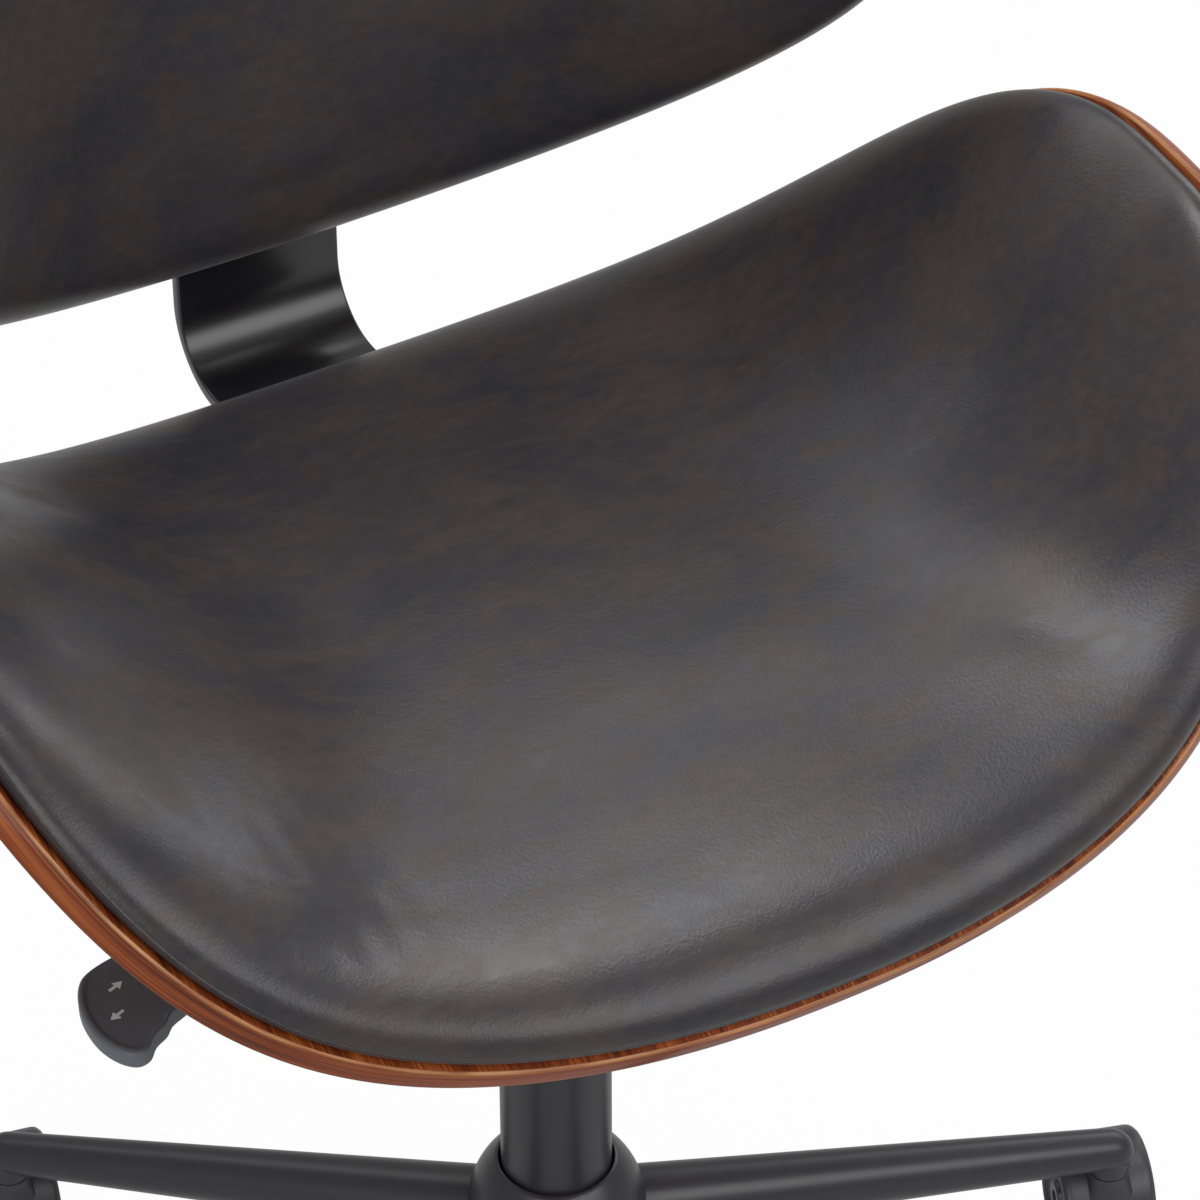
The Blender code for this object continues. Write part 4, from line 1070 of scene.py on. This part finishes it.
@dataclass
class Strap:
    """The flat steel strap from under the seat to the back, with its spacer and screws."""

    seat: SeatPanel
    back: BackPanel
    width: float = 0.0800
    thick: float = 0.0060
    edge: float = 0.0011
    bend: float = 0.0300
    front_y: float = 0.0440
    lean_bend: float = 0.0600
    top_z: float = 0.6600
    corner: float = 0.0150
    spacer: float = 0.0080
    spacer_inset: float = 0.0080
    spacer_rear_y: float = 0.1480
    spacer_corner: float = 0.0090
    spacer_edge: float = 0.0008
    screw_x: tuple[float, float] = (-0.022, 0.022)
    seat_screw_y: tuple[float, float] = (0.068, 0.128)
    back_screw_z: tuple[float, float] = (0.562, 0.632)

    @property
    def shell_under(self) -> float:
        """The height of the seat's underside at its middle."""
        return self.seat.level - self.seat.thickness

    @property
    def top_face(self) -> float:
        """The height of the strap's upper face under the seat."""
        return self.shell_under - self.spacer - 2 * GAP

    def bar(self) -> Surface:
        """The strap: a rectangle with rounded edges carried along stations.

        Each station has the (y, z) of the strap's inner face, the tilt of the way to its
        outer face, (sin tilt, -cos tilt), and its half width, which narrows over a quarter
        round at each end. The stretches are the front, the bend, the lean's bend and the
        top."""
        half, start = self.width / 2, self.lean_bend * math.tan(LEAN / 2)
        t, b = np.linspace(0.0, QUARTER, 9), np.linspace(0.0, QUARTER, 25)
        e = np.linspace(0.0, LEAN, 9)
        back, low = self.back, self.top_face
        top_z = self.top_z - self.corner * (1 - np.sin(t))
        stretches = (
            (self.front_y + self.corner * (1 - np.cos(t)), low, 0.0,
             half - self.corner * (1 - np.sin(t))),
            (back.strap_face_y - self.bend * (1 - np.sin(b)),
             low + self.bend * (1 - np.cos(b)), b, half),
            (back.strap_face_y + self.lean_bend * (1 - np.cos(e)),
             back.strap_lean_z - start + self.lean_bend * np.sin(e), QUARTER - e, half),
            (back.strap_y(top_z), top_z, QUARTER - LEAN,
             half - self.corner * (1 - np.cos(t))))
        stations = np.concatenate([np.stack(np.broadcast_arrays(*row), axis=1)
                                   for row in stretches])
        y, z, tilt, wide = stations.T[..., None]
        x, depth = rounded_box(half, (0.0, self.thick), self.edge, 4).T
        return lofted(np.stack([x + np.sign(x) * (wide - half), y + np.sin(tilt) * depth,
                                z - np.cos(tilt) * depth], axis=-1))

    def build(self, bench: Bench) -> None:
        """Make the strap, its spacer and its eight screws."""
        bench.add("back_support_bar", [self.bar()], bench.finishes.strap, "seat",
                  "back_strap")
        plan = rounded_box(self.width / 2 - self.spacer_inset,
                           (self.front_y + self.spacer_inset, self.spacer_rear_y),
                           self.spacer_corner)
        block = slab(plan, self.top_face + GAP, self.shell_under - GAP, self.spacer_edge)
        bench.add("spacer_block", [block], bench.finishes.bush, "seat", "strap_spacer")
        z = self.top_face - self.thick - GAP
        Screw(self.thick + self.spacer + 3 * GAP + BITE).drive(
            bench, "strap", [(x, y, z) for y in self.seat_screw_y for x in self.screw_x])
        out = self.thick + GAP
        Screw(self.thick + 2 * GAP + BITE).drive(
            bench, "back", [(x, self.back.strap_y(z) + out * math.cos(LEAN),
                             z - out * math.sin(LEAN))
                            for z in self.back_screw_z for x in self.screw_x],
            turn("X", QUARTER - LEAN))


@dataclass
class Lift:
    """The gas lift: outer tube, bush, piston, sliding cylinder, valve button and socket."""

    tube_radius: float = 0.0250
    tube_inner: float = 0.0230
    tube_bottom: float = 0.0480
    tube_floor: float = 0.0510
    tube_top: float = 0.2960
    cylinder_radius: float = 0.0140
    cylinder_top: float = 0.4105
    cylinder_bottom: float = 0.1180
    taper_radius: float = 0.0134
    taper_bottom: float = 0.3750
    chamber_top: float = 0.3965
    well_bottom: float = 0.4019
    piston_radius: float = 0.0050
    piston_foot: float = 0.0150
    piston_top: float = 0.3300
    bush_depth: float = 0.0420
    bush_lip: float = 0.0045
    button_radius: float = 0.0042
    button_rise: float = 0.0052
    button_depth: float = 0.0050

    def build(self, bench: Bench) -> None:
        """Make the lift's round pieces, each a profile carried round the axis."""
        f = bench.finishes
        wide, inner, top = self.tube_radius, self.tube_inner, self.tube_top
        bore, hole = self.cylinder_radius + RUN, self.piston_radius + RUN
        well, head = self.button_radius + RUN, self.cylinder_top
        foot = self.tube_floor + RUN
        for name, finish, body, replaces, columns, rows in (
                ("column_tube", f.base, "base", "lift_tube", 96, [
                    (0, self.tube_bottom, 0), (wide, self.tube_bottom, 0.002),
                    (wide, top, 0.0006), (inner, top, 0.0003), (inner, self.tube_floor, 0),
                    (0, self.tube_floor, 0)]),
                ("column_bush", f.bush, "base", "guide_bush", 72, [
                    (bore, top - self.bush_depth, 0), (inner - GAP, top - self.bush_depth, 0),
                    (inner - GAP, top + GAP, 0), (wide, top + GAP, 0),
                    (wide, top + self.bush_lip, 0.0014), (bore, top + self.bush_lip, 0.0006),
                    (bore, top - self.bush_depth, 0)]),
                ("piston_rod", f.chrome, "piston", "lift_piston", 48, [
                    (0, foot, 0), (self.piston_foot, foot, 0.0006),
                    (self.piston_foot, foot + 0.005, 0.0008),
                    (self.piston_radius, foot + 0.006, 0.0008),
                    (self.piston_radius, self.piston_top, 0.001), (0, self.piston_top, 0)]),
                ("lift_sleeve", f.bracket, "seat", "lift_cylinder", 72, [
                    (hole, self.cylinder_bottom, 0),
                    (self.cylinder_radius, self.cylinder_bottom, 0.001),
                    (self.cylinder_radius, self.taper_bottom, 0.002),
                    (self.taper_radius, head, 0.001), (well, head, 0.0003),
                    (well, self.well_bottom, 0), (0, self.well_bottom, 0),
                    (0, self.chamber_top, 0), (hole, self.chamber_top, 0),
                    (hole, self.cylinder_bottom, 0)])):
            bench.add(name, [lathe(rows, columns)], finish, body, replaces)
        button = peg(self.button_radius, head - self.button_depth, head + self.button_rise,
                     (0.0005, 0.0010), 40)
        bench.add("valve_button", [button], f.zinc, "valve", "lift_button")


@dataclass
class SeatPlate:
    """The pressed steel plate under the seat with its four screws."""

    under: float
    half_x: float = 0.0780
    y_range: tuple[float, float] = (-0.0860, 0.0400)
    thick: float = 0.0040
    corner: float = 0.0180
    edge: float = 0.0009
    screw_x: tuple[float, float] = (-0.058, 0.058)
    screw_y: tuple[float, float] = (-0.066, 0.020)

    @property
    def bottom(self) -> float:
        """The height of the plate's underside."""
        return self.under - GAP - self.thick

    def build(self, bench: Bench) -> None:
        """Make the plate and its screws, and dress the socket below it."""
        steel = bench.finishes.bracket
        plate = slab(rounded_box(self.half_x, self.y_range, self.corner), self.bottom,
                     self.under - GAP, self.edge)
        bench.add("mounting_plate", [plate], steel, "seat", "seat_plate")
        Screw(self.thick + 2 * GAP + BITE).drive(
            bench, "plate", [(x, y, self.bottom - GAP) for y in self.screw_y
                             for x in self.screw_x])
        materials = bench.frame["nodes"]["lift_socket"].data.materials
        materials.clear()
        materials.append(steel.material())


@dataclass
class Lever:
    """The sprung lift lever: rod with an eye, pin, two ears and a moulded paddle."""

    lift: Lift
    plate_bottom: float
    yaw: float = math.pi + math.radians(18.9)
    tilt: float = math.radians(1.9)
    rod_radius: float = 0.0040
    arm: float = 0.0340
    reach: float = 0.1900
    eye_radius: float = 0.0065
    eye_half: float = 0.0055
    eye_round: float = 0.0006
    eye_play: float = 0.0001
    side_play: float = 0.0004
    pin_radius: float = 0.0024
    pin_past: float = 0.0010
    ear_thick: float = 0.0030
    ear_bottom: float = -0.0062
    ear_x: tuple[float, float] = (-0.0097, 0.0085)
    ear_corner: float = 0.2
    paddle_half: float = 0.0045
    paddle_middle: tuple[float, float] = (0.2110, 0.0020)
    dish: float = 0.80
    ink: float = 0.00012
    outline: tuple[tuple[float, float], ...] = (
        (0.1660, -0.008), (0.1835, -0.0125), (0.1995, -0.0205), (0.2155, -0.0232),
        (0.2250, -0.0205), (0.2345, -0.0100), (0.2405, 0.0040), (0.2415, 0.0160),
        (0.2385, 0.0245), (0.2325, 0.0262), (0.2255, 0.0228), (0.2185, 0.0218),
        (0.2125, 0.0192), (0.2045, 0.0188), (0.1945, 0.0180), (0.1825, 0.0120),
        (0.1660, 0.008))
    arrow_outline: tuple[tuple[float, float], ...] = (
        (-0.0032, -0.0007), (0.0004, -0.0007), (0.0004, -0.0024), (0.0040, 0.0),
        (0.0004, 0.0024), (0.0004, 0.0007), (-0.0032, 0.0007))

    @property
    def pivot(self) -> Array:
        """Where the lever turns."""
        z = (self.lift.cylinder_top + self.lift.button_rise + GAP + self.rod_radius
             - self.arm * math.sin(self.tilt))
        return np.array([self.arm * math.cos(self.yaw), self.arm * math.sin(self.yaw), z])

    def placed(self, surface: Surface, tilted: bool = True) -> Surface:
        """Put a surface made along +X from the pivot in its place."""
        matrix = turn("Z", self.yaw) @ turn("Y", self.tilt if tilted else 0.0)
        return surface.turned(matrix).moved(self.pivot)

    def paddle(self) -> Surface:
        """The paddle: its outline scaled and raised ring by ring.

        From the middle of its underside the outline grows to a rounded rim, shrinks again
        over the rim's crown, and falls by s^2 (3 - 2s) into a shallow dish."""
        h, t = self.paddle_half, np.linspace(0.0, 1.0, 7)
        swing = np.sin(t * QUARTER)
        rim = np.stack([1 - 0.10 * (1 - swing), -h + h * 0.55 * t ** 2], axis=1)
        crown = np.stack([1 - 0.07 * t ** 2, h * (0.55 + 0.45 * swing)], axis=1)
        fall = np.stack([0.93 - 0.09 * t, h * (1 - (1 - self.dish) * eased(t))], axis=1)
        rows = np.concatenate([[[0.0, -h], [0.5, -h]], rim, crown, fall,
                               [[0.5, h * self.dish], [0.0, h * self.dish]]])
        middle = np.array(self.paddle_middle)
        spokes = curve_through(np.array(self.outline), 6) - middle
        return Surface(stacked(middle + spokes * rows[:, :1, None], rows[:, 1]))

    def arrow(self, x: float, y: float, sign: int) -> Surface:
        """A plain arrow that points up or down the paddle, a flat print's thickness high."""
        shape = np.array(self.arrow_outline)[::sign] * (sign, 1.0) + (x, y)
        top = self.paddle_half * self.dish + self.ink
        return lofted(stacked(np.stack([shape, shape]), np.array([top - GAP, top])))

    def build(self, bench: Bench) -> None:
        """Make the rod, the pin, the ears, the paddle and its two arrows."""
        f = bench.finishes
        flat, across = turn("Y", QUARTER), turn("X", QUARTER)
        rod = peg(self.rod_radius, 0.0, self.reach + self.arm - 0.003, (0.0008, 0.0008), 40)
        rod = rod.turned(flat).moved((0.003 - self.arm, 0, 0))
        bore, wide, w, r = (self.pin_radius + self.eye_play, self.eye_radius, self.eye_half,
                            self.eye_round)
        eye = lathe([(bore, -w, 0), (wide - r, -w, 0), (wide, r - w, 0), (wide, w - r, 0),
                     (wide - r, w, 0), (bore, w, 0), (bore, -w, 0)], 48).turned(across)
        bench.add("lever_bar", [self.placed(rod), self.placed(eye)], f.zinc, "lever",
                  "lever_rod")
        bench.add("lever_handle", [self.placed(self.paddle())], f.paddle, "lever",
                  "lever_paddle")
        for name, x, y, sign in (("up", 0.2265, 0.0030, 1), ("down", 0.2160, -0.0090, -1)):
            bench.add(f"lever_arrow_{name}", [self.placed(self.arrow(x, y, sign))], f.ink,
                      "lever")
        inner = w + self.side_play
        half = inner + self.ear_thick + self.pin_past
        pin = peg(self.pin_radius, -half, half, (0.0004, 0.0004), 32).turned(across)
        bench.add("pivot_pin", [self.placed(pin, False)], f.zinc, "seat", "lever_pin")
        low = np.array([self.ear_x[0], self.ear_bottom])
        high = np.array([self.ear_x[1], self.plate_bottom - GAP - self.pivot[2]])
        square = (rounded_box(1.0, (0.0, 1.0), self.ear_corner) + (1.0, 0.0)) / (2.0, 1.0)
        plan = low + square * (high - low)
        for side, near in (("rear", -inner - self.ear_thick), ("front", inner)):
            ear = slab(plan, near, near + self.ear_thick, 0.0004).turned(across)
            bench.add(f"pivot_ear_{side}", [self.placed(ear, False)], f.bracket, "seat",
                      f"lever_ear_{side}")


@dataclass
class StarBase:
    """The hub and five tapering legs."""

    ball_radius: float = 0.0405
    ball_z: float = 0.1156
    bottom: float = 0.0810
    lip_radius: float = 0.0272
    bore: float = 0.0253
    count: int = 5
    start: float = math.radians(60.0)
    radius: tuple[float, float] = (0.0170, 0.0100)
    axis_z: tuple[float, float] = (0.1049, 0.0670)
    reach: tuple[float, float] = (0.0410, 0.2720)
    root: float = 0.0100
    tip_round: float = 0.0110
    socket_radius: float = 0.0096
    caster_height: float = 0.0540

    def hub(self) -> Surface:
        """The collar: a ball from its upper lip down, drawn in to a straight skirt."""
        t = np.linspace(math.acos(self.lip_radius / self.ball_radius), 0.0, 22)
        b, z = self.ball_radius, self.ball_z
        ball = np.stack([b * np.cos(t), z + b * np.sin(t)], axis=1)
        top = ball[0][1]
        skirt = filleted([(*ball[-1], 0), (b * 0.945, z - 0.012, 0.006),
                          (b * 0.850, z - 0.0215, 0.004), (b * 0.790, z - 0.029, 0.003),
                          (b * 0.775, self.bottom, 0.001), (self.bore, self.bottom, 0.001),
                          (self.bore, top - 0.003, 0)], 5)
        lip = [(self.lip_radius - 0.0008, top + 0.0002)]
        return revolved(np.concatenate([ball, skirt[1:], lip, ball[:1]]), 96)

    def leg(self, angle: float) -> list[Surface]:
        """One leg: circles along its sloping axis that shrink evenly, with a round tip.

        The caster's socket is a short round boss under the tip."""
        (near, far), (thick, thin), (high, low) = self.reach, self.radius, self.axis_z
        body = np.linspace(near - self.root, far, 20)
        share = (body - near) / (far - near)
        t = np.linspace(0.0, QUARTER, 10)[1:-1]
        place = np.concatenate([body, far + self.tip_round * np.sin(t)])[:, None]
        radius = np.concatenate([thick + (thin - thick) * np.maximum(share, 0.0),
                                 thin * np.cos(t) ** 0.8])[:, None]
        height = high + (low - high) / (far - near) * (place - near)
        c, s = circle(48).T
        bar = lofted(np.stack([place + 0.0 * c, radius * c, height + radius * s], axis=-1))
        boss = peg(self.socket_radius, self.caster_height + GAP, low, (0.0012, 0.0), 40)
        aim = turn("Z", angle)
        return [bar.turned(aim), boss.moved((far, 0, 0)).turned(aim)]

    def angle(self, index: int) -> float:
        """The way that a leg points, from its number, from 0."""
        return self.start + math.tau * index / self.count

    def build(self, bench: Bench) -> None:
        """Make the hub and the legs."""
        paint = bench.finishes.base
        bench.add("hub_collar", [self.hub()], paint, "base", "hub")
        for index in range(self.count):
            bench.add(f"base_leg_{index + 1}", self.leg(self.angle(index)), paint, "base",
                      f"leg_{index + 1}")


@dataclass
class Caster:
    """One hooded twin-wheel caster, trailing along +X before it is turned."""

    base: StarBase
    yaws: tuple[float, ...] = (83.0, 78.0, 64.0, 101.0, 72.0)
    trail: float = 0.0160
    stem_radius: float = 0.0055
    stem_up: float = 0.0135
    neck_radius: float = 0.0125
    neck_depth: float = 0.0120
    shoulder: float = 0.0050
    wheel_radius: float = 0.0250
    wheel_width: float = 0.0170
    wheel_inside: float = 0.0046
    tyre_depth: float = 0.0032
    axle_radius: float = 0.0030
    axle_play: float = 0.0001
    hood_radius: float = 0.0285
    hood_thick: float = 0.0022
    hood_round: float = 0.0042
    hood_arc: tuple[float, float] = (-18.0, 172.0)
    web_half: float = 0.0040
    web_radius: float = 0.0215

    def hood(self) -> Surface:
        """The mudguard: a thin channel section carried round the axle, its sides rounded
        over, and narrowed by up to 14 % over its rear end."""
        half = self.wheel_inside + self.wheel_width + 0.0004
        outer, inner = self.hood_radius, self.hood_radius - self.hood_thick
        depth, y = filleted([(inner, -half, 0), (outer, -half, self.hood_round),
                             (outer, half, self.hood_round), (inner, half, 0)]).T
        t = np.radians(np.linspace(*self.hood_arc, 48))[:, None]
        taper = 1.0 - 0.14 * np.clip((np.radians(20.0) - t) / np.radians(38.0), 0, 1) ** 2
        radius = np.maximum(depth, inner)
        return lofted(np.stack([self.trail + radius * np.cos(t), y * taper,
                                self.wheel_radius + radius * np.sin(t)], axis=-1))

    def body(self) -> list[Surface]:
        """The hood with its web, rib, neck, stem and axle."""
        aim, at = turn("X", QUARTER), (self.trail, 0.0, self.wheel_radius)
        w, reach = self.web_half, self.wheel_inside + self.wheel_width - 0.003
        web = peg(self.web_radius, -w, w, (0.0015, 0.0015), 56)
        axle = peg(self.axle_radius, -reach, reach, (0.0006, 0.0006), 28)
        rib = slab(rounded_box(0.010, (0.0004 - w, w - 0.0004), 0.002), self.wheel_radius,
                   self.wheel_radius + self.hood_radius - 0.0012, 0.0004)
        top, collar, stem = self.base.caster_height, self.base.socket_radius, self.stem_radius
        neck = lathe([(0, top - self.neck_depth, 0),
                      (self.neck_radius, top - self.neck_depth, 0.001),
                      (collar, top - self.shoulder, 0.004), (collar, top, 0.0008),
                      (stem, top, 0), (stem, top + self.stem_up, 0.001),
                      (0, top + self.stem_up, 0)], 40)
        return [self.hood(), web.turned(aim).moved(at), rib.moved((self.trail, 0, 0)), neck,
                axle.turned(aim).moved(at)]

    def wheel(self, sign: float) -> tuple[Surface, Surface]:
        """A wheel's core and tyre for one side, each a ring carried round the axle."""
        r, w = self.wheel_radius, self.wheel_width
        bore, rim = self.axle_radius + self.axle_play, self.wheel_radius - self.tyre_depth
        core = lathe([(bore, 0, 0), (rim, 0, 0.0008), (rim, w - 0.0012, 0.0004),
                      (rim - 0.0030, w - 0.0004, 0.0012), (rim - 0.0052, w - 0.0030, 0.0016),
                      (0.0082, w - 0.0040, 0.0012), (0.0070, w - 0.0008, 0.0008),
                      (bore, w - 0.0008, 0.0004), (bore, 0, 0)], 72, 4)
        tyre = lathe([(rim, 0.0006, 0), (r - 0.0008, 0.0010, 0.0010), (r, 0.0036, 0.0020),
                      (r, w - 0.0052, 0.0024), (r - 0.0014, w - 0.0016, 0.0014),
                      (rim, w - 0.0008, 0), (rim, 0.0006, 0)], 72, 5)
        aim, at = turn("X", -sign * QUARTER), (self.trail, sign * self.wheel_inside, r)
        return core.turned(aim).moved(at), tyre.turned(aim).moved(at)

    def build(self, bench: Bench, index: int) -> None:
        """Make the caster under one leg.

        Args:
            bench: where the pieces are put together.
            index: the leg's number, from 0.
        """
        f, name = bench.finishes, f"caster_{index + 1}"
        aim, angle = turn("Z", math.radians(self.yaws[index])), self.base.angle(index)
        at = self.base.reach[1] * np.array([math.cos(angle), math.sin(angle), 0.0])
        bench.add(f"{name}_body", [part.turned(aim).moved(at) for part in self.body()],
                  f.nylon, name, f"{name}_hood")
        for side, sign in (("left", 1.0), ("right", -1.0)):
            core, tyre = (part.turned(aim).moved(at) for part in self.wheel(sign))
            body = f"{name}_wheel_{side}"
            bench.add(f"{name}_core_{side}", [core], f.nylon, body, body, Slot.BLACK_PLASTIC)
            bench.add(f"{name}_tyre_{side}", [tyre], f.tyre, body)


# ---------------------------------------------------------------- studio
@dataclass(frozen=True)
class Lamp:
    """A soft rectangular lamp: its place, the height on the chair's axis that it faces, its
    width and height, all in metres, and its watts."""

    name: str
    place: tuple[float, float, float]
    aim_z: float
    size: tuple[float, float]
    power: float

    def hang(self) -> None:
        """Put the lamp in the scene."""
        data = bpy.data.lights.new(self.name, "AREA")
        data.shape, data.energy = "RECTANGLE", self.power
        data.size, data.size_y = self.size
        made = linked(self.name, data)
        made.location = self.place
        toward = Vector((0.0, 0.0, self.aim_z)) - Vector(self.place)
        made.rotation_euler = toward.to_track_quat("-Z", "Y").to_euler()


@dataclass
class Studio:
    """The pale floor, the soft lights and the camera at the photograph's angle."""

    azimuth: float = math.radians(-29.913)
    elevation: float = math.radians(38.558)
    distance: float = 2.3789
    focal_pixels: float = 5707.55
    target: tuple[float, float, float] = (0.02355, -0.0005, 0.45514)
    roll: float = math.radians(-0.25)
    clip: tuple[float, float] = (0.05, 60.0)
    floor_half: float = 6.0
    lamps: tuple[Lamp, ...] = (
        Lamp("softbox_rear", (0.25, 1.75, 2.70), 0.5, (2.4, 0.9), 14.0),
        Lamp("softbox_top", (0.65, 0.10, 2.90), 0.5, (1.4, 0.9), 24.0),
        Lamp("softbox_front", (0.80, -2.00, 1.85), 0.45, (2.2, 1.2), 27.0),
        Lamp("softbox_left", (-2.0, -1.4, 1.4), 0.4, (1.3, 1.6), 19.0),
        Lamp("softbox_right", (2.20, 0.90, 1.40), 0.45, (1.2, 0.9), 8.0))

    def camera(self, shift: Array) -> None:
        """Aim a camera at the target from the photograph's side."""
        data = bpy.data.cameras.new("camera")
        data.sensor_width = SENSOR_MM
        data.lens = self.focal_pixels * SENSOR_MM / IMAGE_SIDE
        data.clip_start, data.clip_end = self.clip
        back = Vector((math.sin(self.azimuth) * math.cos(self.elevation),
                       -math.cos(self.azimuth) * math.cos(self.elevation),
                       math.sin(self.elevation)))
        made = linked("camera", data)
        made.location = Vector(self.target) + Vector(shift) + back * self.distance
        level = (-back).to_track_quat("-Z", "Y")
        made.rotation_euler = (level @ Quaternion((0.0, 0.0, 1.0), self.roll)).to_euler()
        bpy.context.scene.camera = made

    @staticmethod
    def seen(tree: Tree, direct: float, mirrored: float) -> bpy.types.Node:
        """How much of the white background a ray shows.

        Args:
            tree: the node tree that gets the nodes.
            direct: the share for a camera ray.
            mirrored: the share for a ray that a glossy or clear surface sends on.

        Returns:
            The node that gives the share.
        """
        path = node(tree, "LightPath").outputs
        sent_on = node(tree, "Math", {0: path["Is Glossy Ray"],
                                      1: path["Is Transmission Ray"]}, operation="MAXIMUM")
        dimmed = node(tree, "Math", {0: sent_on, 1: mirrored}, operation="MULTIPLY")
        straight = node(tree, "Math", {0: path["Is Camera Ray"], 1: direct},
                        operation="MULTIPLY")
        return node(tree, "Math", {0: dimmed, 1: straight}, operation="MAXIMUM")

    def floor(self) -> None:
        """A pale floor that reads as white and keeps a soft shadow."""
        mesh = bpy.data.meshes.new("floor")
        corners = [(x, y, 0.0) for x, y in ((-1, -1), (1, -1), (1, 1), (-1, 1))]
        mesh.from_pydata(self.floor_half * np.array(corners), [], [(0, 1, 2, 3)])
        paper = bpy.data.materials.new("white_paper")
        paper.use_nodes = True
        tree = paper.node_tree
        tree.nodes.clear()
        matt = node(tree, "BsdfDiffuse", {"Color": linear(0xA8A8A8)})
        glow = node(tree, "Emission", {"Color": WHITE, "Strength": 1.0})
        mixed = node(tree, "MixShader", {0: self.seen(tree, 0.98, 0.50), 1: matt, 2: glow})
        node(tree, "OutputMaterial", {"Surface": mixed})
        mesh.materials.append(paper)
        linked("floor", mesh)

    def world(self) -> None:
        """An even white surround, plain for what it lights and full white where it shows."""
        world = bpy.data.worlds.new("surround")
        bpy.context.scene.world = world
        world.use_nodes = True
        tree = world.node_tree
        tree.nodes.clear()
        lit = node(tree, "MapRange", {"Value": self.seen(tree, 1.0, 0.25), "To Min": 0.20,
                                      "To Max": 1.0})
        back = node(tree, "Background", {"Color": WHITE, "Strength": lit})
        node(tree, "OutputWorld", {"Surface": back})

    def build(self, bench: Bench) -> None:
        """Set up the camera, the floor and the lights."""
        self.camera(bench.shift)
        self.floor()
        self.world()
        for lamp in self.lamps:
            lamp.hang()
        bpy.context.scene.view_settings.view_transform = "Standard"


def main() -> None:
    """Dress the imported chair, sub-assembly by sub-assembly."""
    logging.basicConfig(level=logging.INFO, format="%(name)s %(message)s")
    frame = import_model()
    bench = Bench(frame)
    seat, back = SeatPanel(), BackPanel()
    strap, lift, base = Strap(seat, back), Lift(), StarBase()
    plate = SeatPlate(strap.shell_under)
    for part in (
            Studio(),
            PaddedPanel("seat", Cushion(seat, inset=0.0022, waist=0.0050, crown=0.0250,
                                        roll=0.0580, folds=Folds())),
            PaddedPanel("back", Cushion(back, inset=0.0024, waist=0.0085, crown=0.0270,
                                        roll=0.0360, power=2.6)),
            strap, plate, lift, Lever(lift, plate.bottom), base):
        part.build(bench)
    caster = Caster(base)
    for index in range(base.count):
        caster.build(bench, index)


if __name__ == "__main__":
    main()
